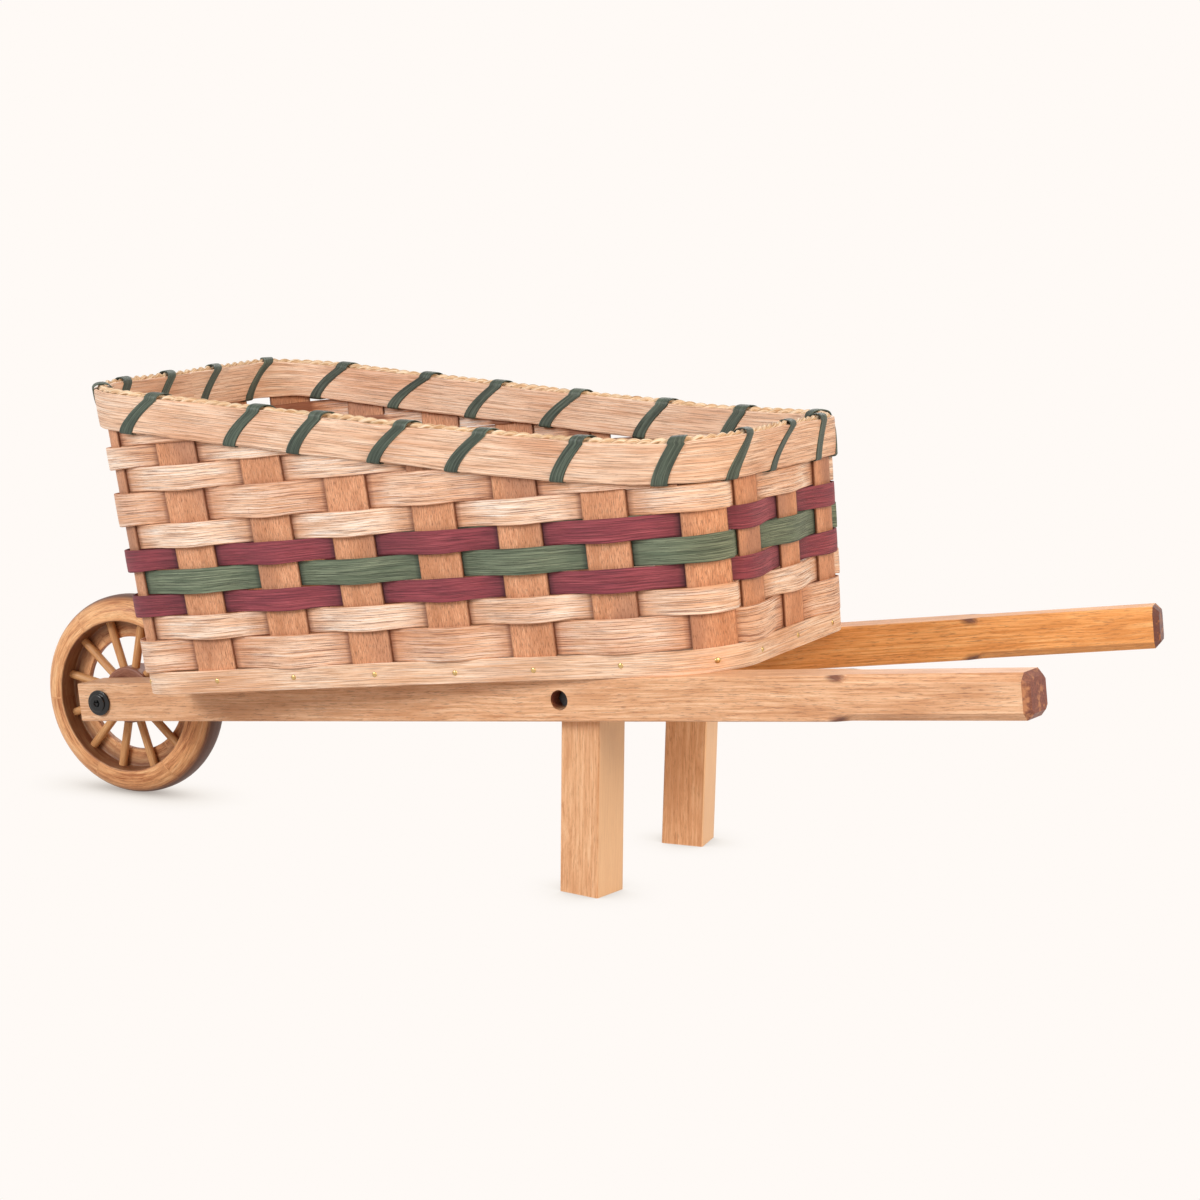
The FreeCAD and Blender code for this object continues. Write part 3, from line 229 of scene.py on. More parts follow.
def outline_run(share, height):
    """Length round the wall at a height, from the middle of the wheel end to a share: the sum
    of the stretches that are passed, each counted as far as the share has come in it."""
    share, height = np.broadcast_arrays(share, height)
    a, b, c, d, e = half_outline(height)[0]
    around = share % 6
    run = sum(length * np.clip(around - i, 0, 1) for i, length in enumerate((
        a + b / 2, b / 2 + c + d / 2, d / 2 + e, d / 2 + e, b / 2 + c + d / 2, a + b / 2,
    )))
    return run + 2 * (a + b + c + d + e) * np.floor(share / 6)


def closed_run(share, height):
    """Lengths round the wall at shares of one full round, and the length that closes it: twice
    the length at its middle."""
    run = outline_run(share, height)
    return np.append(run, 2 * run[len(run) // 2])


def even_shares(count, height):
    """Shares at even lengths once round the wall, read back from the seven stretch ends."""
    knots = outline_run(np.arange(7) - np.array([0, 0, 0, 0, 0, 0, 1e-9]), height)
    return np.interp(np.arange(count) / count * knots[-1], knots, np.arange(7))


def wall(share, along, height, offset):
    """Points of the wall: a share of the outline plus a length along it, at a height, moved
    out along the plan's normal. Half the outline is half the wheel end, a corner arc, the
    near side, a corner arc and half the handle end; the far side mirrors it."""
    share, along, height, offset = np.broadcast_arrays(share, along, height, offset)
    lengths, plan = half_outline(height)
    front, back, front_half, back_half, first_radius, last_radius = plan
    half = sum(lengths)
    run = (outline_run(share, height) + along) % (2 * half)
    far = run > half
    run = np.where(far, 2 * half - run, run)
    starts = np.cumsum([np.zeros_like(half)] + lengths[:4], axis=0)
    part = sum((run >= start).astype(int) for start in starts[1:])
    first = (run - starts[1]) / first_radius
    last = (run - starts[3]) / last_radius
    lean = np.arctan2(front_half - back_half, lengths[2])
    reach = run - starts[2]
    level = np.zeros_like(run)
    normal_x = np.choose(part, [
        level - 1.0, -np.cos(first), -np.sin(lean), np.sin(last), level + 1.0,
    ])
    normal_y = np.choose(part, [level, -np.sin(first), -np.cos(lean), -np.cos(last), level])
    x = np.choose(part, [
        front,
        front + first_radius * (1 - np.cos(first)),
        front + first_radius + reach * np.cos(lean),
        back - last_radius * (1 - np.sin(last)),
        back,
    ])
    y = np.choose(part, [
        -run,
        -front_half + first_radius * (1 - np.sin(first)),
        -front_half + reach * np.sin(lean),
        -back_half + last_radius * (1 - np.cos(last)),
        -back_half + last_radius + run - starts[4],
    ])
    x, y = x + normal_x * offset, y + normal_y * offset
    return np.stack([x, np.where(far, -y, y), height], axis=-1)


def weave_phase(place):
    """Place for the weave's beat: each stake's two edges and middle, which lie at uneven shares
    of the pitch, are read as the same share of it, straight in between."""
    centres = np.arange(STAKES)
    runs = outline_run(share_of(np.arange(-1, STAKES + 1)), DECK)
    half_stakes = STAKE_WIDTH / 2 / np.diff(runs)
    known = np.stack([
        centres - half_stakes[:-1], centres, centres + half_stakes[1:],
    ], axis=1).ravel()
    half_share = 0.27
    phases = (centres[:, None] + np.array([-half_share, 0, half_share])).ravel()
    known = np.concatenate([known, known[:1] + STAKES])
    phases = np.append(phases, phases[0] + STAKES)
    turns = np.floor((place - known[0]) / STAKES) * STAKES
    return np.interp(place - turns, known, phases) + turns


def rim_top(share, along=0.0):
    """Height of the rim: a hyperbola that is level at the handle end and rises evenly towards
    the wheel, and a little more on the far side."""
    point = wall(share, along, RIM_LOW, 0.0)
    away = np.maximum(BASKET_FRONT + BASKET_LENGTH - point[..., 0], 0)
    far_share = 0.5 + point[..., 1] / (2 * BASKET_HALF_WIDTH)
    rise = RIM_SLOPE * (np.hypot(away, RIM_EASE) - RIM_EASE)
    return RIM_LOW + rise + RIM_FAR_RISE * far_share * away / (away + RIM_EASE)


# Meshes


def flat_section(width, thickness, edge, crown=0.0):
    """Once round a flat strip: across from its middle and out from its middle.

    Each corner is a quarter circle, and the outer face is a shallow arc."""
    straight = width / 2 - edge
    rise = thickness / 2 - edge
    turns = np.radians([0, 30, 60, 90])
    right = np.stack([straight + edge * np.cos(turns), rise + edge * np.sin(turns)], axis=1)
    spread = straight * np.array([0.94, 0.5, 0.0, -0.5, -0.94])
    outer = np.stack([spread, np.full(5, thickness / 2)], axis=1)
    upper = np.concatenate([right, outer, right[::-1] * [-1, 1]])
    lower = upper[::-1] * [1, -1]
    upper[:, 1] += crown * (1 - (2 * upper[:, 0] / width) ** 2)
    return np.concatenate([upper, lower])


def grid_faces(rows, columns, ring):
    """Quads of a grid whose columns close round it, and whose rows close in a ring or not:
    each point with the next in its row and the two after them."""
    steps = rows if ring else rows - 1
    i, j = np.meshgrid(np.arange(steps), np.arange(columns), indexing="ij")
    after_i, after_j = (i + 1) % rows, (j + 1) % columns
    quads = np.stack([
        i * columns + j, i * columns + after_j, after_i * columns + after_j, after_i * columns + j,
    ], axis=-1).reshape(-1, 4)
    return quads, i, j


def make_piece(name, grids, material, body, nodes):
    """One mesh from grids of points (rows along, columns once round), each with its lengths
    along and across for the UV map. An open grid is closed with a face at each end. The sum
    of the tetrahedra from the grid's middle to its faces tells which way the faces turn."""
    points, faces, loops, marks = [], [], [], []
    first = 0
    for grid in grids:
        block = to_row(grid["points"])
        rows, columns = block.shape[:2]
        ring = grid.get("ring", False)
        along, across = np.asarray(grid["along"]) * MM, np.asarray(grid["across"]) * MM
        quads, i, j = grid_faces(rows, columns, ring)
        wide = np.append(across, across[0]) if len(across) == columns else across
        corners = [(i, j), (i, j + 1), (i + 1, j + 1), (i + 1, j)]
        map_quads = np.stack([
            np.stack([along[a], wide[b]], axis=-1) for a, b in corners
        ], axis=2).reshape(-1, 4, 2)
        flat = block.reshape(-1, 3)
        a, b, c, d = (flat[quads[:, k]] - flat.mean(axis=0) for k in range(4))
        volume = (a * (np.cross(b, c) + np.cross(c, d))).sum()
        start, end = np.arange(columns)[::-1], np.arange(columns)
        if volume < 0:
            quads, map_quads = quads[:, ::-1], map_quads[:, ::-1]
            start, end = end, start
        faces += (quads + first).tolist()
        loops.append(map_quads.reshape(-1, 2))
        if not ring:
            for order, row in ((start, 0), (end, rows - 1)):
                faces.append((order + first + row * columns).tolist())
                loops.append(np.stack([np.full(columns, along[row]), wide[order]], axis=1))
        points.append(flat)
        marks.append(np.broadcast_to(grid.get("shade_and_stain", 0.0), (rows, columns)).ravel())
        first += rows * columns
    mesh = bpy.data.meshes.new(name)
    mesh.from_pydata(np.concatenate(points), [], faces)
    layer = mesh.uv_layers.new(name="strip")
    layer.data.foreach_set("uv", np.concatenate(loops).astype(np.float32).ravel())
    shade_and_stain = mesh.attributes.new("shade_and_stain", "FLOAT", "POINT")
    shade_and_stain.data.foreach_set("value", np.concatenate(marks).astype(np.float32))
    mesh.polygons.foreach_set("use_smooth", [len(face) == 4 for face in faces])
    mesh.materials.append(material)
    piece = bpy.data.objects.new(name, mesh)
    bpy.context.scene.collection.objects.link(piece)
    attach(piece, body)
    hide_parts(*nodes)


def round_wall(share, section, height, offset, along, ring=True, shade_and_stain=0.0):
    """Grid of a strip round the wall: its section carried along shares of the outline, with a
    height and an offset at each."""
    across, out = section[:, 0], section[:, 1]
    points = wall(share[:, None], 0.0, height[:, None] + across, offset[:, None] + out)
    return {"points": points, "along": along, "across": across, "ring": ring, "shade_and_stain": shade_and_stain}


def turned(profile, segments):
    """Grid turned about the axle: a profile of radius and place along the axle, once round.

    x is radius times the cosine of the turn, z radius times its sine."""
    radius, place = np.array(profile).T
    angle = np.arange(segments) / segments * 2 * math.pi
    points = np.stack([
        np.outer(np.cos(angle), radius),
        np.broadcast_to(place, (segments, len(place))),
        np.outer(np.sin(angle), radius),
    ], axis=-1)
    steps = np.hypot(np.diff(radius, append=radius[0]), np.diff(place, append=place[0]))
    across = np.append(0, np.cumsum(steps))
    length = 2 * math.pi * radius.max() * np.arange(segments + 1) / segments
    return {"points": points, "along": length, "across": across, "ring": True}


def arc(centre, radius, start, end, count):
    """Points of an arc between two angles in degrees, for a turned profile."""
    turn = np.radians(np.linspace(start, end, count))
    return [(centre[0] + radius * math.cos(t), centre[1] + radius * math.sin(t)) for t in turn]


# Materials


def linear(code):
    """Linear colour of an sRGB hex value."""
    parts = [int(code[i:i + 2], 16) / 255 for i in (1, 3, 5)]
    return [p / 12.92 if p <= 0.04045 else ((p + 0.055) / 1.055) ** 2.4 for p in parts] + [1.0]


def add_node(tree, kind, inputs=None, stops=None, **settings):
    """A shader node with its settings, its inputs as values or links, and a ramp's stops."""
    node = tree.nodes.new("ShaderNode" + kind)
    for name, value in settings.items():
        setattr(node, name, value)
    for key, value in (inputs or {}).items():
        if isinstance(value, bpy.types.NodeSocket):
            tree.links.new(value, node.inputs[key])
        else:
            node.inputs[key].default_value = value
    if stops:
        ramp = node.color_ramp
        while len(ramp.elements) < len(stops):
            ramp.elements.new(0.5)
        for element, (place, colour) in zip(ramp.elements, stops):
            element.position = place
            element.color = linear(colour) if isinstance(colour, str) else [colour] * 3 + [1.0]
    return node


def new_material(name):
    """An empty material and its node tree."""
    material = bpy.data.materials.new(name)
    material.use_nodes = True
    tree = material.node_tree
    tree.nodes.clear()
    return material, tree


def streaks(tree, vector, along, across, detail=3.0, roughness=0.55):
    """Noise drawn out along the grain: the sizes are millimetres along and across it."""
    scaled = add_node(tree, "Mapping", {
        "Vector": vector, "Scale": (1 / (along * MM), 1 / (across * MM), 1 / (across * MM)),
    })
    return add_node(tree, "TexNoise", {
        "Vector": scaled.outputs[0], "Scale": 1.0, "Detail": detail, "Roughness": roughness,
    }).outputs[0]


def laid_over(tree, body, *layers):
    """A body colour with others laid over it in turn, each as strong as its stops say for each
    value of its pattern. Colours are sockets or hex values."""
    for pattern, stops, colour in layers:
        cover = add_node(tree, "ValToRGB", {"Fac": pattern}, stops=stops).outputs[0]
        under, over = (linear(c) if isinstance(c, str) else c for c in (body, colour))
        body = add_node(tree, "Mix", {0: cover, 6: under, 7: over}, data_type="RGBA").outputs[2]
    return body


def natural_surface(tree, body, relief, strength, depth, rough):
    """Surface of wood, reed or grass: the usual index of such fibres under oil, and a relief
    whose depth is in millimetres."""
    bump = add_node(tree, "Bump", {
        "Height": relief, "Strength": strength, "Distance": depth * MM,
    })
    shader = add_node(tree, "BsdfPrincipled", {
        "Base Color": body, "Normal": bump.outputs[0], "Roughness": rough, "IOR": 1.5,
    })
    add_node(tree, "OutputMaterial", {"Surface": shader.outputs[0]})


def flat_reed(name, dark, middle, light, line, stain_shade_colour, rough=0.62, lines=0.75, stain_shade_strength=0.6):
    """Flat reed: fibres and hairline cracks in the reed's length, blotches, and stain with
    painted shade where the reed is tucked behind a stake and along its edges. The real fibres are
    finer: they are drawn just coarse enough to show. Lines and stain_shade_strength are the
    strengths of the line colour and of the stain and shade colour."""
    material, tree = new_material(name)
    strip = add_node(tree, "UVMap", uv_map="strip").outputs[0]
    shade_and_stain = add_node(tree, "Attribute", attribute_name="shade_and_stain").outputs[2]
    fibre = streaks(tree, strip, 70.0, 0.85, detail=4.0, roughness=0.8)
    hair = streaks(tree, strip, 45.0, 0.5, roughness=0.7)
    tone = streaks(tree, strip, 50.0, 6.0)
    slow = streaks(tree, strip, 110.0, 50.0, detail=1.0)
    speck = streaks(tree, strip, 3.0, 0.6, detail=2.0)
    body = add_node(tree, "ValToRGB", {"Fac": fibre}, stops=[
        (0.36, dark), (0.48, middle), (0.6, light),
    ]).outputs[0]
    body = laid_over(
        tree, body,
        (tone, [(0.46, 0.0), (0.68, 0.7)], dark),
        (slow, [(0.5, 0.0), (0.66, 0.4)], stain_shade_colour),
        # Stain and painted shade on the marked parts: behind the stakes and along the edges.
        (shade_and_stain, [(0.25, 0.0), (0.75, stain_shade_strength)], stain_shade_colour),
        (shade_and_stain, [(0.72, 0.0), (0.84, 0.8)], line),
        (hair, [(0.54, 0.0), (0.58, lines)], line),
        (speck, [(0.64, 0.0), (0.7, lines * 0.6)], line),
    )
    cracks = add_node(tree, "ValToRGB", {"Fac": hair}, stops=[(0.54, 0.0), (0.58, 1.0)])
    relief = add_node(tree, "Math", {0: fibre, 1: cracks.outputs[0]}, operation="SUBTRACT")
    natural_surface(tree, body, relief.outputs[0], strength=0.6, depth=0.3, rough=rough)
    return material


def close_splint(name, dark, middle, light, edge_colour, dull):
    """Stakes: a close-grained brown splint with short dark flecks along its length, dull
    patches, and painted shade along its edges."""
    material, tree = new_material(name)
    strip = add_node(tree, "UVMap", uv_map="strip").outputs[0]
    edge = add_node(tree, "Attribute", attribute_name="shade_and_stain").outputs[2]
    grain = streaks(tree, strip, 8.0, 0.65, detail=4.0, roughness=0.75)
    tone = streaks(tree, strip, 60.0, 14.0, detail=2.0)
    slow = streaks(tree, strip, 130.0, 60.0, detail=1.0)
    fleck = streaks(tree, strip, 4.0, 0.7, detail=2.0)
    body = add_node(tree, "ValToRGB", {"Fac": grain}, stops=[
        (0.34, dark), (0.5, middle), (0.64, light),
    ]).outputs[0]
    body = laid_over(
        tree, body,
        (tone, [(0.4, 0.0), (0.65, 0.55)], dark),
        (slow, [(0.5, 0.0), (0.62, 0.6)], dull),
        (fleck, [(0.54, 0.0), (0.66, 0.55)], edge_colour),
        # Painted shade: the marked edges take the dark edge colour.
        (edge, [(0.0, 0.0), (1.0, 1.0)], edge_colour),
    )
    natural_surface(tree, body, grain, strength=0.4, depth=0.12, rough=0.6)
    return material


def oiled_wood(name, dark, middle, light, end, turn=None, seed=0.0, figure_along=80.0,
               figure_across=1.5, shade=None, spots=(), end_light=None, flank=None):
    """Oiled hardwood: figure and pores along the grain, darker where the end grain drinks the
    oil. The grain is the X axis of a turn of the object's own space, or of the strip map.
    Painted shade darkens where the grid is marked, and a painted highlight lightens +X faces.
    are dark patches: points of the barrow with a length and a width in millimetres."""
    material, tree = new_material(name)
    if turn is None:
        place = add_node(tree, "UVMap", uv_map="strip").outputs[0]
    else:
        source = add_node(tree, "TexCoord")
        place = add_node(tree, "Mapping", {
            "Vector": source.outputs["Object"], "Rotation": turn, "Location": (seed, seed, 0.0),
        }, vector_type="TEXTURE").outputs[0]
    warp = streaks(tree, place, 120.0, 26.0, detail=1.0)
    shift = add_node(tree, "Math", {0: warp, 1: 7.0 * MM}, operation="MULTIPLY").outputs[0]
    sway = add_node(tree, "CombineXYZ", {1: shift, 2: shift}).outputs[0]
    bent = add_node(tree, "VectorMath", {0: place, 1: sway}, operation="ADD").outputs[0]
    figure = streaks(tree, bent, figure_along, figure_across, detail=5.0, roughness=0.8)
    pore = streaks(tree, bent, 9.0, 0.6, roughness=0.7)
    cloud = streaks(tree, place, 50.0, 14.0)
    body = add_node(tree, "ValToRGB", {"Fac": figure}, stops=[
        (0.36, dark), (0.5, middle), (0.64, light),
    ]).outputs[0]
    body = laid_over(tree, body, (cloud, [(0.46, 0.0), (0.68, 0.6)], dark),
                     (pore, [(0.54, 0.0), (0.66, 0.5)], end))
    # Painted shade: the shade colour laid over the grid's marked points.
    if shade:
        deep = add_node(tree, "Attribute", attribute_name="shade_and_stain").outputs[2]
        body = laid_over(tree, body, (deep, [(0.0, 0.0), (1.0, 1.0)], shade))
    for point, length, width in spots:
        moved = Vector(to_row(np.array(point)) - [seed, seed, 0])
        away = add_node(tree, "Mapping", {
            "Vector": place, "Location": turn.to_matrix().transposed() @ moved,
            "Scale": (length * MM, width * MM, width * MM),
        }, vector_type="TEXTURE")
        away = add_node(tree, "VectorMath", {0: away.outputs[0]}, operation="LENGTH")
        ragged = add_node(tree, "Math", {0: away.outputs["Value"], 1: pore}, operation="ADD")
        ragged = add_node(tree, "Math", {0: ragged.outputs[0], 1: 0.6}, operation="MULTIPLY")
        body = laid_over(tree, body, (ragged.outputs[0], [(0.55, 0.9), (0.9, 0.0)], end))
    if turn is not None:
        facing = add_node(tree, "Mapping", {
            "Vector": source.outputs["Normal"], "Rotation": turn,
        }, vector_type="TEXTURE")
        facing = add_node(tree, "SeparateXYZ", {0: facing.outputs[0]})
        facing = add_node(tree, "Math", {0: facing.outputs[0]}, operation="ABSOLUTE")
        # Painted highlight: faces turned to +X are laid over with the paler flank colour.
        if flank:
            aside = add_node(tree, "SeparateXYZ", {0: source.outputs["Normal"]})
            body = laid_over(tree, body, (aside.outputs[0], [(0.6, 0.0), (0.8, 0.7)], flank))
        rings = streaks(tree, place, 2.0, 1.3, detail=4.0, roughness=0.7)
        worn = streaks(tree, place, 8.0, 8.0, roughness=0.6)
        cut = add_node(tree, "ValToRGB", {"Fac": rings}, stops=[
            (0.42, end), (0.58, end_light or end),
        ]).outputs[0]
        cut = laid_over(tree, cut, (worn, [(0.53, 0.0), (0.64, 0.6)], dark))
        body = laid_over(tree, body, (facing.outputs[0], [(0.35, 0.0), (0.72, 1.0)], cut))
    natural_surface(tree, body, figure, strength=0.25, depth=0.2, rough=0.5)
    return material


def twisted_grass(name):
    """Seagrass rope: dry blades along each strand, from straw to grey green."""
    material, tree = new_material(name)
    strip = add_node(tree, "UVMap", uv_map="strip").outputs[0]
    blade = streaks(tree, strip, 14.0, 1.2, roughness=0.6)
    tone = streaks(tree, strip, 40.0, 4.0, detail=2.0)
    body = add_node(tree, "ValToRGB", {"Fac": blade}, stops=[
        (0.36, "#b58a60"), (0.5, "#e3c39d"), (0.62, "#f6e4cb"),
    ]).outputs[0]
    body = laid_over(tree, body, (tone, [(0.5, 0.0), (0.7, 0.5)], "#b39a74"))
    natural_surface(tree, body, blade, strength=0.7, depth=0.3, rough=0.7)
    return material


def metal(name, colour, worn, rough, metallic=1.0):
    """Metal whose polish and colour are uneven. The real marks are hairlines: they are drawn
    2.5 mm wide, which is as fine as shows."""
    material, tree = new_material(name)
    source = add_node(tree, "TexCoord").outputs["Object"]
    patch = streaks(tree, source, 2.5, 2.5)
    shine = add_node(tree, "ValToRGB", {"Fac": patch}, stops=[
        (0.3, rough * 0.8), (0.7, rough * 1.25),
    ]).outputs[0]
    shader = add_node(tree, "BsdfPrincipled", {
        "Base Color": laid_over(tree, colour, (patch, [(0.45, 0.0), (0.75, 0.5)], worn)),
        "Roughness": shine, "Metallic": metallic,
    })
    add_node(tree, "OutputMaterial", {"Surface": shader.outputs[0]})
    return material


# Turns that lay the X axis along the grain
near_rail_turn = (Matrix.Rotation(-TILT, 3, "Y") @ Matrix.Rotation(-SPLAY, 3, "Z")).to_euler()
far_rail_turn = (Matrix.Rotation(-TILT, 3, "Y") @ Matrix.Rotation(SPLAY, 3, "Z")).to_euler()
upright_turn = Euler((0, math.pi / 2, 0))
board_turn = Euler((0, -TILT, 0))


def grip_spots(side):
    """Dark patches where the grip's chamfers run out on a rail's four long edges: points at
    one length along the rail, which leans out by its splay."""
    along, length, width = RAIL_REACH - GRIP_LENGTH + 4.0, 10.0, 5.0
    spots = []
    for inward, up in ((0.0, 1), (0.0, -1), (RAIL, 1), (RAIL, -1)):
        x = along * math.cos(SPLAY) + inward * math.sin(SPLAY)
        y = -RAIL_HALF_SPREAD - along * math.sin(SPLAY) + inward * math.cos(SPLAY)
        spots.append(((x, -side * y, up * DECK), length, width))
    return spots


# Planed hardwood under oil: warm and satin, with red-brown end grain that wear has lightened
# in patches. The far rail comes from a yellower board.
near_rail_wood = oiled_wood(
    "oiled_hardwood_near_rail", "#ca9064", "#e6b48b", "#f6d0ac", "#66352a",
    turn=near_rail_turn, spots=grip_spots(-1), end_light="#834c3a",
)
far_rail_wood = oiled_wood(
    "oiled_hardwood_far_rail", "#c9823f", "#eba661", "#f6c283", "#522724",
    turn=far_rail_turn, seed=0.3, spots=grip_spots(1), end_light="#64342c",
)
# The legs' grain runs upright; their faces towards the handles get a painted highlight.
leg_wood = oiled_wood(
    "oiled_hardwood_legs", "#cf9568", "#e6b285", "#f2c89e", "#a4683f",
    turn=upright_turn, seed=0.7, figure_across=1.6, figure_along=60.0, flank="#ffdcb2",
)
# Sanded board without oil: pale, with the same colour at its ends.
board_wood = oiled_wood(
    "sanded_board", "#b98657", "#cda077", "#ddb78f", "#b98657", turn=board_turn,
)
# Turned and oiled, with painted shade on the tread and inside the front recess.
rim_wood = oiled_wood(
    "oiled_turned_rim", "#ac673b", "#e8aa74", "#fbcb96", "#8a5030",
    figure_along=60.0, figure_across=4.0, shade="#582f1e",
)
# A darker, redder wood for the hub, and plain birch dowel for the spokes.
hub_wood = oiled_wood(
    "oiled_turned_hub", "#744635", "#9c6852", "#b5826a", "#7a4a36",
    figure_along=20.0, figure_across=2.0,
)
spoke_wood = oiled_wood(
    "oiled_birch_dowel", "#bb7e4d", "#d69f68", "#e8ba84", "#b67c48",
    figure_along=40.0, figure_across=1.6,
)
# Flat rattan reed, split and dried: straw with brown hairlines, dull, darker where tucked
# behind the stakes, partly stain and partly painted shade. Some rows are cut from paler cane.
natural_reed = flat_reed(
    "natural_flat_reed", "#dda57f", "#f4cdae", "#ffecde", "#874c33", "#cc885c",
)
pale_reed = flat_reed("pale_flat_reed", "#e9ba97", "#fcdfc6", "#fff8f0", "#8a5239", "#d2905f")
band_reed = flat_reed(
    "natural_rim_reed", "#e0b08e", "#f2ceb1", "#fde7d4", "#8f5f45", "#cf8f66", lines=0.6,
)
strip_reed = flat_reed(
    "natural_foot_reed", "#e4b48d", "#f6d1b2", "#ffecda", "#96644a", "#d08c58", lines=0.5,
)
# The same reed through a dye bath: the fibres still show, lighter and darker.
burgundy_reed = flat_reed(
    "dyed_burgundy_reed", "#72293a", "#8c3844", "#a9525c", "#3f1720", "#5e2430",
    lines=0.55, stain_shade_strength=0.4,
)
green_reed = flat_reed(
    "dyed_green_reed", "#4d5e4a", "#6b7963", "#93a087", "#273026", "#46523f",
    lines=0.65, stain_shade_strength=0.4,
)
lashing_reed = flat_reed(
    "dyed_dark_green_reed", "#2c3a31", "#425045", "#5f6e60", "#161e1a", "#24302a",
    rough=0.5, lines=0.6,
)
# Sawn splint with a brown stain: even, with short flecks, and painted shade on its edges.
stake_splint = close_splint(
    "brown_stake_splint", "#b3764e", "#dc9e77", "#f2c09a", "#6a3f29", "#a2735c",
)
rope_grass = twisted_grass("twisted_seagrass")
# Drawn brass pins glint, zinc plate is satin, and the bolt heads are a dark grey zinc.
brass = metal("bright_brass", "#d2b27a", "#96703c", 0.28)
zinc = metal("zinc_plated_steel", "#a9a9aa", "#8f9092", 0.38)
dark_zinc = metal("dark_grey_zinc_steel", "#4c4b4c", "#2c2a2a", 0.5)
# Black oxide is a skin under wax, so it shines like lacquer and not like bare metal.
black_oxide = metal("black_oxide_steel", "#0b0c0e", "#1d1b1c", 0.13, metallic=0.0)
REEDS = {
    "natural": (natural_reed, "natural_splint"),
    "pale": (pale_reed, "natural_splint"),
    "burgundy": (burgundy_reed, "burgundy_splint"),
    "green": (green_reed, "green_splint"),
}


# Pieces that the CAD already shapes right: each node's own mesh gets its finish

for node, material, slot in (
    ("near_rail", near_rail_wood, "stained_wood"),
    ("far_rail", far_rail_wood, "stained_wood"),
    ("near_leg", leg_wood, "stained_wood"),
    ("far_leg", leg_wood, "stained_wood"),
    ("basket_board", board_wood, "board_wood"),
    ("leg_bolts", dark_zinc, "zinc_steel"),
    ("board_screws", zinc, "zinc_steel"),
    ("axle_rod", zinc, "zinc_steel"),
):
    piece = frame["nodes"][node]
    piece.data.materials.clear()
    piece.data.materials.append(material)


# Wheel


def make_wheel_rim():
    """Turned rim: a profile of arcs, once round the rounded tread, the recess on each face and
    the web between. It is marked for painted shade on the tread and inside the front recess."""
    half = WHEEL_WIDTH / 2
    side = arc((WHEEL_RADIUS - TREAD_ROUND, half - TREAD_ROUND), TREAD_ROUND, 90, 0, 14)
    inner = RECESS_RADIUS + RECESS_EASE
    face = inner + 0.4
    corner, bore = RECESS_RADIUS - WEB_FILLET, WEB_BORE + WEB_EASE
    back, front = WEB_BACK + WEB_FILLET, WEB_FRONT - WEB_FILLET
    profile = [(face, -half)] + [(r, -y) for r, y in side] + side[::-1] + [(face, half)]
    profile += arc((inner, half - RECESS_EASE), RECESS_EASE, 90, 180, 5)
    profile += [(RECESS_RADIUS, back + 0.4)] + arc((corner, back), WEB_FILLET, 0, -90, 4)
    profile += [(bore + WEB_EASE, WEB_BACK)]
    profile += arc((bore, WEB_BACK - WEB_EASE), WEB_EASE, 90, 180, 4)
    profile += arc((bore, WEB_FRONT + WEB_EASE), WEB_EASE, 180, 270, 4)
    profile += [(bore + WEB_EASE, WEB_FRONT)]
    profile += arc((corner, front), WEB_FILLET, 90, 0, 4) + [(RECESS_RADIUS, front - 0.4)]
    profile += arc((inner, -half + RECESS_EASE), RECESS_EASE, 180, 270, 5)
    grid = turned(profile, RIM_STEPS)
    # The rim is glued up from six pieces, each with its own stretch of the grain.
    part = np.arange(RIM_STEPS + 1) // (RIM_STEPS // RIM_PIECES)
    grid["along"] = grid["along"] + RIM_GRAIN * part
    # The tread's painted shade fades out on its rounding, the recess's on the recess's edge.
    radius, place = np.array(profile).T
    recess = np.clip((RECESS_RADIUS - radius) / 1.2 + 1, 0, 1) * (radius > RECESS_RADIUS - 4)
    tread = np.clip((half - abs(place) - 5.5) / 4.0, 0, 1) * (radius > RECESS_RADIUS + 4)
    grid["shade_and_stain"] = 0.75 * recess * (place < WEB_BACK) + 0.95 * tread
    make_piece("turned_wheel_rim", [grid], rim_wood, "wheel", ["wheel_rim"])


def make_wheel_hub():
    """Turned hub: a straight side with a quarter arc at each edge, and the axle's bore."""
    half, bore = HUB_WIDTH / 2, AXLE_RADIUS + 0.05
    edge, level, nib = HUB_RADIUS - HUB_EASE, half - HUB_EASE, 0.5
    profile = [(bore, -half), (edge - nib, -half)]
    profile += arc((edge, -level), HUB_EASE, 270, 360, 6)
    profile += [(HUB_RADIUS, nib - level), (HUB_RADIUS, level - nib)]
    profile += arc((edge, level), HUB_EASE, 0, 90, 6)
    profile += [(edge - nib, half), (bore, half)]
    grid = turned(profile, 96)
    make_piece("turned_wheel_hub", [grid], hub_wood, "wheel", ["wheel_hub"])


def make_spokes():
    """Dowels: a circle carried out from the hub to the rim, each with its own grain."""
    around = np.arange(20) / 20 * 2 * math.pi
    run = np.linspace(HUB_RADIUS - SPOKE_SEAT, RECESS_RADIUS + SPOKE_SEAT, 10)
    across = np.append(around, 2 * math.pi) * SPOKE_RADIUS
    axle = np.array([0, 1, 0])
    grids = []
    for number in range(SPOKES):
        angle = SPOKE_FIRST_ANGLE + 2 * math.pi * number / SPOKES
        out = np.array([math.cos(angle), 0, math.sin(angle)])
        aside = np.array([-math.sin(angle), 0, math.cos(angle)])
        circle = np.outer(np.cos(around), aside) + np.outer(np.sin(around), axle)
        points = run[:, None, None] * out + SPOKE_RADIUS * circle + SPOKE_PLACE * axle
        grids.append({"points": points, "along": run + SPOKE_GRAIN * number, "across": across})
    make_piece("dowel_spokes", grids, spoke_wood, "wheel", ["wheel_spokes"])


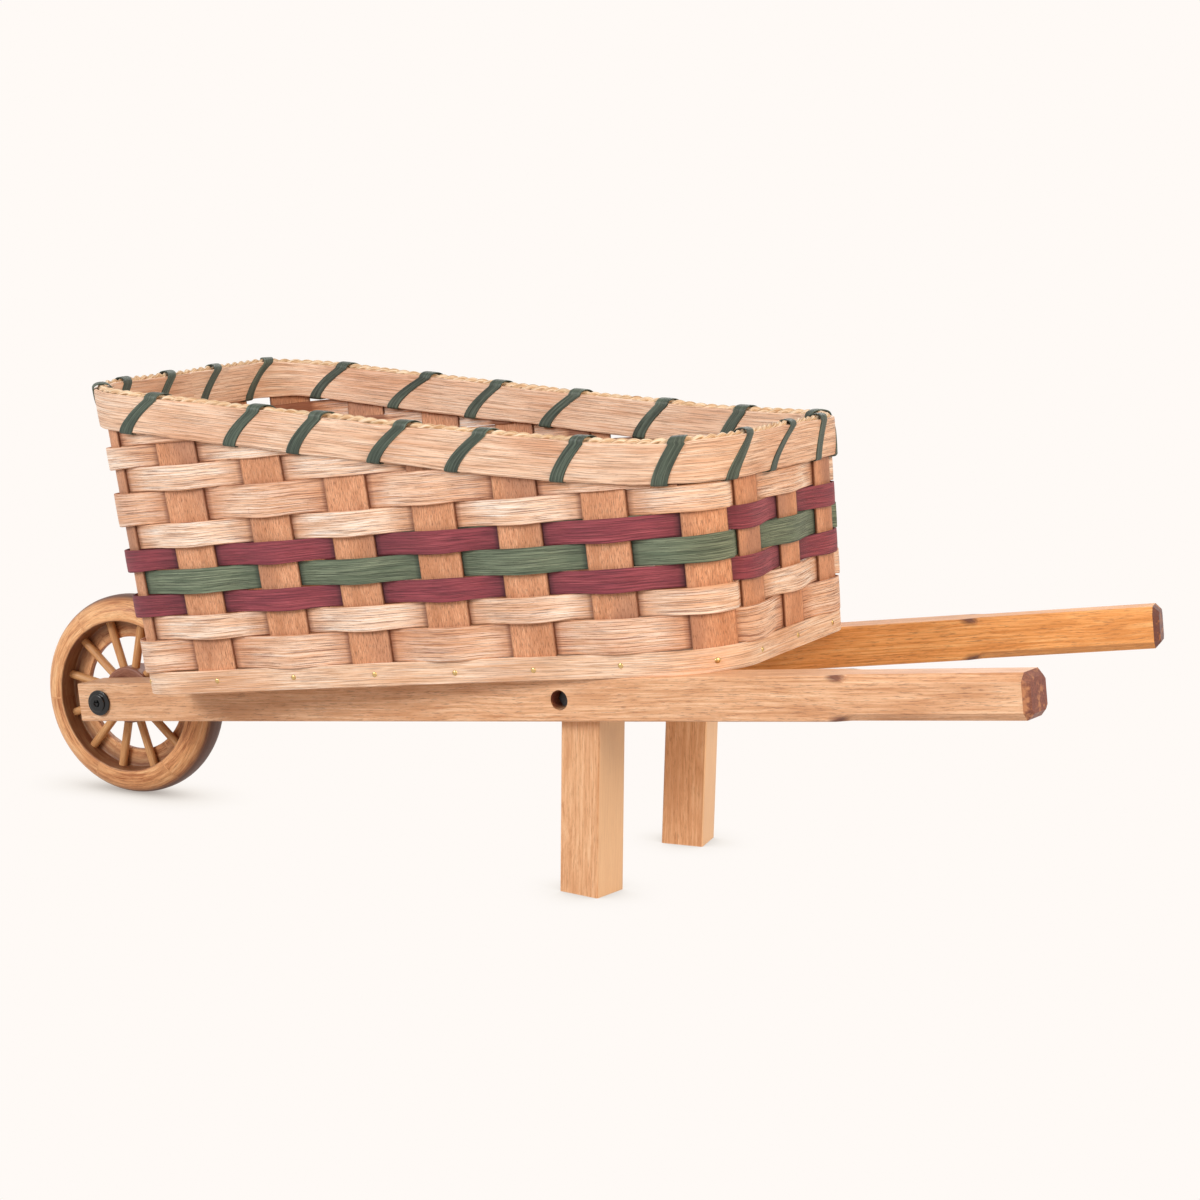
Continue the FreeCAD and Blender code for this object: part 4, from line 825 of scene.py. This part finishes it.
def make_caps():
    """Cap nuts: a profile of a rounded flange and a raised disc, then a hexagon socket whose
    radius follows the hexagon's side at each turn. Places run inwards from the cap's seat."""
    count = 96
    angle = np.arange(count) / count * 2 * math.pi
    flats = CAP_SOCKET_FLATS / 2 / np.cos((angle % (math.pi / 3)) - math.pi / 6)
    sleeve, shoulder, ease = AXLE_RADIUS + 1.0, 1.9, 0.8
    flange = CAP_FLANGE_RADIUS - CAP_FLANGE_EASE
    outside = [(sleeve, CAP_DEPTH), (sleeve, 0.05), (CAP_FLANGE_RADIUS - ease, 0.0)]
    outside += arc((flange, -CAP_FLANGE_EASE), CAP_FLANGE_EASE, 60, -90, 9)
    outside += [(CAP_DISC_RADIUS + 0.6, -shoulder)]
    outside += arc((CAP_DISC_RADIUS + 0.5, -shoulder - 0.5), 0.5, 90, 180, 4)[1:]
    outside += [(CAP_DISC_RADIUS, ease - CAP_DISC_RISE)]
    outside += arc((CAP_DISC_RADIUS - ease, ease - CAP_DISC_RISE), ease, 0, -90, 5)[1:]
    radius, place = (np.broadcast_to(row, (count, len(outside))) for row in np.array(outside).T)
    lip, floor = 0.2 - CAP_DISC_RISE, -CAP_SOCKET_FLOOR
    socket = [(1.35, -CAP_DISC_RISE), (1.12, -CAP_DISC_RISE), (1.0, lip), (1.0, floor - 0.1)]
    middle = 0.02
    radius = np.column_stack([radius] + [flats * grow for grow, _ in socket]
                             + [flats * middle, np.full(count, middle)])
    levels = [level for _, level in socket] + [floor, CAP_DEPTH - 0.1]
    place = np.column_stack([place, np.tile(levels, (count, 1))])
    length = 2 * math.pi * CAP_FLANGE_RADIUS * np.arange(count + 1) / count
    across = np.arange(radius.shape[1] + 1.0)
    grids = []
    for side in (1, -1):
        points = np.stack([
            radius * np.cos(angle)[:, None],
            side * (place - CAP_SEAT),
            radius * np.sin(angle)[:, None],
        ], axis=-1)
        grids.append({"points": points, "along": length, "across": across, "ring": True})
    make_piece("cap_nuts", grids, black_oxide, "barrow", ["axle_caps"])


make_wheel_rim()
make_wheel_hub()
make_spokes()
make_caps()


# Basket


def make_stakes(name, node, places):
    """Upright splints: a flat section that bends with the wall, from the deck to the rim, with
    a slight wobble in and out."""
    section = flat_section(STAKE_WIDTH, STAKE_THICKNESS, STAKE_EDGE / 2)
    # Painted shade: the edges are marked dark, for the shadow lines beside each stake.
    from_edge = STAKE_WIDTH / 2 - np.abs(section[:, 0])
    edge = 0.8 * np.clip(1 - from_edge / STAKE_EDGE, 0, 1)
    grids = []
    for place in places:
        share = share_of(place)
        height = np.linspace(DECK + 0.1, float(rim_top(share)) - 5.0, 40)
        bow = wobble(height, 90.0, 0.12)
        points = wall(share, section[:, 0], height[:, None], bow[:, None] + section[:, 1])
        grids.append({
            "points": points, "along": height + STAKE_GRAIN * place,
            "across": section[:, 0], "shade_and_stain": edge,
        })
    make_piece(name, grids, stake_splint, "barrow", [node])


make_stakes("splint_stakes_wheel_end", "wheel_end_stakes", [20, 21, 0, 1, 2])
make_stakes("splint_stakes_near_side", "near_side_stakes", range(3, 10))
make_stakes("splint_stakes_handle_end", "handle_end_stakes", [10, 11, 12])
make_stakes("splint_stakes_far_side", "far_side_stakes", range(13, 20))


def make_row(number, low, width, over, last, finish):
    """A woven splint: its distance from the wall is a cosine of the place, out over one stake
    and in behind the next. Where the rim band leaves it room, it bows out more and its lower
    edge dips. It is marked for stain and painted shade where it is tucked behind a stake, and
    for painted shade along its edges."""
    ring = last is None
    if ring:
        place = np.arange(STAKES * WEAVE_STEPS) / WEAVE_STEPS
    else:
        place = np.linspace(-last, last, int(2 * last * WEAVE_STEPS))
    share = share_of(place)
    middle = low + width / 2
    run = outline_run(share, middle)
    beat = np.cos(math.pi * (weave_phase(place) + over))
    room = np.clip((rim_top(share) - BAND_HEIGHT - low - width + 4.0) / 10.0, 0, 1)
    outward = (WEAVER_OUT + WEAVER_FREE_OUT * room) * (1 + wobble(run, 150.0, 0.06))
    offset = np.where(beat > 0, outward, WEAVER_BEHIND) * beat
    height = middle + wobble(run, 130.0, 0.25)
    section = flat_section(width, WEAVER_THICKNESS, 0.35, crown=0.15)
    across = section[:, 0]
    # Marks for darkening: behind a stake, stain and painted shade; along the edges, painted shade
    # lines.
    hidden = np.clip(0.35 - 0.75 * beat, 0, 1)[:, None]
    painted_edge_shade = 0.7 * (np.abs(across) > width / 2 - 0.4)
    along = (closed_run(share, middle) if ring else run) + ROW_GRAIN * number
    shade_and_stain = np.maximum(hidden, painted_edge_shade)
    grid = round_wall(share, section, height, offset, along, ring, shade_and_stain)
    dip = np.clip(beat, 0, 1) ** 2 * (WEAVER_DIP + WEAVER_FREE_DIP * room)
    grid["points"][..., 2] -= dip[:, None] * np.clip(0.5 - across / width, 0, 1)
    ragged = wobble(run, 22.0, 0.12)[:, None]
    grid["points"][..., 2] += ragged * np.sign(across) * (np.abs(across) > width / 3)
    material, slot = REEDS[finish]
    name, node = "woven_row_%02d" % number, "weaver_row_%02d" % number
    make_piece(name, [grid], material, "barrow", [node])


row_low = DECK + STRIP_HEIGHT + WEAVER_GAP / 2
for number, (width, over, last, finish) in enumerate(ROWS, start=1):
    make_row(number, row_low, width, over, last, finish)
    row_low += width + WEAVER_GAP


def make_foot_strip():
    """Strip nailed round the foot: a flat section with the slight wobble of split reed."""
    share = share_of(np.arange(STAKES * WALL_STEPS) / WALL_STEPS)
    run = outline_run(share, DECK)
    section = flat_section(STRIP_HEIGHT, STRIP_THICKNESS, 0.5, crown=0.1)
    height = DECK + STRIP_HEIGHT / 2 + wobble(run, 160.0, 0.25)
    offset = STRIP_MIDDLE + STRIP_CLEAR + wobble(run, 90.0, 0.12)
    grid = round_wall(share, section, height, offset, closed_run(share, DECK))
    make_piece("foot_strip", [grid], strip_reed, "barrow", ["nail_strip"])


def make_pins():
    """Domed brass heads: each ring of the dome is a circle whose radius and rise follow a
    quarter turn."""
    around = np.arange(16) / 16 * 2 * math.pi
    climb = np.radians([0, 15, 35, 55, 72, 86])
    radius = np.append([0.5, PIN_RADIUS * 0.96], PIN_RADIUS * np.cos(climb))
    rise = np.append([-0.5, 0.0], PIN_DOME * np.sin(climb) + 0.1)
    seat = STRIP_MIDDLE + STRIP_THICKNESS / 2 + STRIP_CLEAR
    middle = DECK + STRIP_HEIGHT / 2
    grids = []
    for share in share_of(np.arange(STAKES)):
        along = radius[:, None] * np.cos(around)
        lift = middle + radius[:, None] * np.sin(around) + random.uniform(-0.8, 0.8)
        points = wall(share, along + random.uniform(-1.5, 1.5), lift, seat + rise[:, None])
        grids.append({"points": points, "along": rise, "across": around})
    make_piece("brass_pin_heads", grids, brass, "barrow", ["strip_pins"])


make_foot_strip()
make_pins()


# Rim


def make_band(name, node, side):
    """Rim band: a flat section with rounded, slightly ragged edges that follows the rim's
    slope, outside the wall on side 1 and inside on side -1."""
    share = share_of(np.arange(STAKES * WALL_STEPS) / WALL_STEPS)
    run = outline_run(share, RIM_LOW)
    section = flat_section(BAND_HEIGHT, BAND_THICKNESS, 0.9, crown=0.25) * [1, side]
    height = rim_top(share) - BAND_HEIGHT / 2
    offset = np.full(len(share), side * (BAND_SEAT + BAND_THICKNESS / 2 + 0.1))
    along = closed_run(share, RIM_LOW) + BAND_GRAIN * (side + 2)
    grid = round_wall(share, section, height, offset, along)
    near_edge = np.abs(section[:, 0]) > BAND_HEIGHT / 3
    ragged = wobble(run, 18.0, 0.18) + wobble(run, 75.0, 0.45)
    grid["points"][..., 2] += ragged[:, None] * np.sign(section[:, 0]) * near_edge
    make_piece(name, [grid], band_reed, "barrow", [node])


def make_rope():
    """Filler rope: two strands, each a circle carried along a helix round the rim's top."""
    total = float(outline_run(6.0, RIM_LOW))
    turns = round(total / ROPE_LAY)
    steps = turns * ROPE_STEPS
    share = even_shares(steps, RIM_LOW)
    top = (rim_top(share) + wobble(outline_run(share, RIM_LOW), 45.0, 0.35))[:, None]
    around = np.arange(12) / 12 * 2 * math.pi
    across = np.append(around, 2 * math.pi) * STRAND_RADIUS
    grids = []
    for strand in range(ROPE_STRANDS):
        twist = 2 * math.pi * (np.arange(steps) / steps * turns + strand / ROPE_STRANDS)
        out = STRAND_THROW * np.cos(twist)[:, None] + STRAND_RADIUS * np.cos(around)
        up = STRAND_THROW * np.sin(twist)[:, None] + STRAND_RADIUS * np.sin(around)
        points = wall(share[:, None], 0.0, top - ROPE_SINK + up, out)
        along = total * np.arange(steps + 1) / steps + STRAND_GRAIN * strand
        grids.append({"points": points, "along": along, "across": across, "ring": True})
    make_piece("seagrass_rope", grids, rope_grass, "barrow", ["rim_filler_rope"])


def lash_loop():
    """Once round the rim's section, from the outer band's foot: offset from the wall and
    height from the rim's top. Corners are arcs; the top is an arc over the rope."""
    reach = BAND_SEAT + BAND_THICKNESS + 0.55
    bend = 1.3
    low = -BAND_HEIGHT - 0.5
    turn = np.radians(np.linspace(0, 90, 6))
    top_turn = np.radians(np.linspace(0, 180, LASH_TOP_STEPS))
    outer = np.linspace(low + bend, -1.5, LASH_SIDE_STEPS)
    points = [(reach, z) for z in outer]
    points += [(reach * math.cos(t), ROPE_COVER * math.sin(t) ** 0.8 - 0.4) for t in top_turn]
    points += [(-reach, z) for z in outer[::-1]]
    less_cos, less_sin = bend * (1 - np.cos(turn)), bend * (1 - np.sin(turn))
    points += zip(less_cos[1:] - reach, low + less_sin[1:])
    points += [(x, low) for x in (-2.0, 0.0, 2.0)]
    points += zip(reach - less_sin[:-1], low + less_cos[:-1])
    return np.array(points)


def make_lashing():
    """Lashing: one strip wound once round the rim per stake. Its place climbs each band as a
    power of the height, and it crosses over the rope and through the weave nearly square. The
    section stands square to the loop's own direction at each step."""
    loop = lash_loop()
    rise = (loop[:, 1] + BAND_HEIGHT) / BAND_HEIGHT
    climb = np.clip(rise, 0, 1) ** LASH_CURVE
    outside = np.arange(len(loop)) < LASH_SIDE_STEPS + LASH_TOP_STEPS // 2
    even = np.arange(STAKES) + LASH_LOW_SHARE
    foot = (even + LASH_LOW_DRIFT)[:, None]
    over = (even + LASH_CLIMB_SHARE + LASH_TOP_DRIFT)[:, None]
    next_foot = np.append(foot[1:], foot[:1] + STAKES, axis=0)
    back = over + LASH_TOP_SHARE
    place = np.where(outside, foot + (over - foot) * climb, next_foot - (next_foot - back) * climb)
    crossing = slice(LASH_SIDE_STEPS, LASH_SIDE_STEPS + LASH_TOP_STEPS)
    place[:, crossing] = over + np.linspace(-0.02, LASH_TOP_SHARE + 0.02, LASH_TOP_STEPS)
    share = share_of(place.ravel())
    steps = np.tile(loop, (STAKES, 1))
    way = np.roll(steps, -1, axis=0) - np.roll(steps, 1, axis=0)
    out = np.stack([way[:, 1], -way[:, 0]], axis=1) / np.hypot(way[:, 0], way[:, 1])[:, None]
    section = flat_section(LASH_WIDTH, LASH_THICKNESS, 0.3, crown=0.1)
    lift = rim_top(share[:, None], section[:, 0]) + steps[:, 1:] + out[:, 1:] * section[:, 1]
    offset = steps[:, :1] + out[:, :1] * section[:, 1]
    points = wall(share[:, None], section[:, 0], lift, offset)
    move = np.linalg.norm(np.diff(points[:, 0], axis=0, append=points[:1, 0]), axis=1)
    grid = {
        "points": points, "along": np.append(0, np.cumsum(move)),
        "across": section[:, 0] * 0.7, "ring": True,
    }
    make_piece("green_lashing", [grid], lashing_reed, "barrow", ["rim_lashing"])


make_band("outer_band", "outer_rim_band", 1)
make_band("inner_band", "inner_rim_band", -1)
make_rope()
make_lashing()


# Floor, light and camera

BACKGROUND = "#fffaf6"


def background_rays(tree):
    """1 for the rays that see the plain background: the camera's and mirrored or bent ones."""
    path = add_node(tree, "LightPath").outputs
    seen = path["Is Camera Ray"]
    for kind in ("Is Glossy Ray", "Is Transmission Ray"):
        seen = add_node(tree, "Math", {0: seen, 1: path[kind]}, operation="MAXIMUM").outputs[0]
    return seen


def make_floor():
    """Pale floor in the background's colour, with a painted shadow close to what stands on it: the
    rays that see the background get a glow darkened by ambient occlusion.
    """
    material, tree = new_material("pale_floor")
    # Painted shadow: ambient occlusion darkens the glow near the barrow.
    near = add_node(tree, "AmbientOcclusion", {"Distance": 55.0 * MM}, samples=16)
    shade = add_node(tree, "ValToRGB", {"Fac": near.outputs["AO"]}, stops=[
        (0.0, "#a89f98"), (0.45, "#ddd6cf"), (0.7, "#f6f0ea"), (0.9, BACKGROUND),
    ])
    glow = add_node(tree, "Emission", {"Color": shade.outputs[0], "Strength": 1.0})
    matt = add_node(tree, "BsdfDiffuse", {"Color": linear("#cbc4bd")})
    blend = add_node(tree, "MixShader", {
        0: background_rays(tree), 1: matt.outputs[0], 2: glow.outputs[0],
    })
    add_node(tree, "OutputMaterial", {"Surface": blend.outputs[0]})
    mesh = bpy.data.meshes.new("floor")
    reach = 30.0
    corners = [(-reach, -reach, 0), (reach, -reach, 0), (reach, reach, 0), (-reach, reach, 0)]
    mesh.from_pydata(corners, [], [(0, 1, 2, 3)])
    mesh.materials.append(material)
    floor = bpy.data.objects.new("floor", mesh)
    bpy.context.scene.collection.objects.link(floor)


def make_world():
    """Plain background for the rays that see it, and a soft even light for all others."""
    world = bpy.data.worlds.new("studio")
    bpy.context.scene.world = world
    world.use_nodes = True
    tree = world.node_tree
    tree.nodes.clear()
    soft = add_node(tree, "Background", {"Color": linear("#f6f2f0"), "Strength": 0.46})
    plain = add_node(tree, "Background", {"Color": linear(BACKGROUND), "Strength": 1.0})
    blend = add_node(tree, "MixShader", {
        0: background_rays(tree), 1: soft.outputs[0], 2: plain.outputs[0],
    })
    add_node(tree, "OutputWorld", {"Surface": blend.outputs[0]})


def make_lamp(name, place, size, energy, colour):
    """Square lamp at a place in metres that faces the middle of the basket."""
    data = bpy.data.lights.new(name, "AREA")
    data.size = size
    data.energy = energy
    data.color = linear(colour)[:3]
    lamp = bpy.data.objects.new(name, data)
    lamp.location = place
    back = Vector(place) - Vector((0.0, 0.0, 0.15))
    lamp.rotation_euler = back.to_track_quat("Z", "Y").to_euler()
    bpy.context.scene.collection.objects.link(lamp)


def make_camera():
    """Camera whose place, directions and lens were fitted to the photo's own edges, in the
    barrow's frame. Lens lengths and the picture's size are in the photo's pixels."""
    place = np.array([1221.45, -1600.11, 231.36])
    right = np.array([0.89033, 0.44388, -0.10141])
    up = np.array([0.03207, 0.16105, 0.98643])
    back = np.array([0.45418, -0.88150, 0.12915])
    picture, focal, principal_y = 1200, 2615.9, 680
    data = bpy.data.cameras.new("camera")
    data.sensor_width = 36.0
    data.lens = data.sensor_width * focal / picture
    data.shift_y = (principal_y - picture / 2) / picture
    camera = bpy.data.objects.new("camera", data)
    world = np.eye(4)
    world[:3, :3] = TURN @ np.stack([right, up, back], axis=1)
    world[:3, 3] = to_row(place)
    camera.matrix_world = Matrix(world)
    bpy.context.scene.collection.objects.link(camera)
    bpy.context.scene.camera = camera


make_floor()
make_world()
make_lamp("key", (-1.2, -2.4, 1.45), 1.1, 48.0, "#ffffff")
make_lamp("fill", (2.0, -0.8, 1.3), 1.1, 35.0, "#ffe4c8")
make_lamp("back", (-0.6, 2.3, 1.7), 1.6, 18.0, "#ffffff")
make_camera()
bpy.context.scene.view_settings.view_transform = "Standard"

bpy.context.view_layer.update()
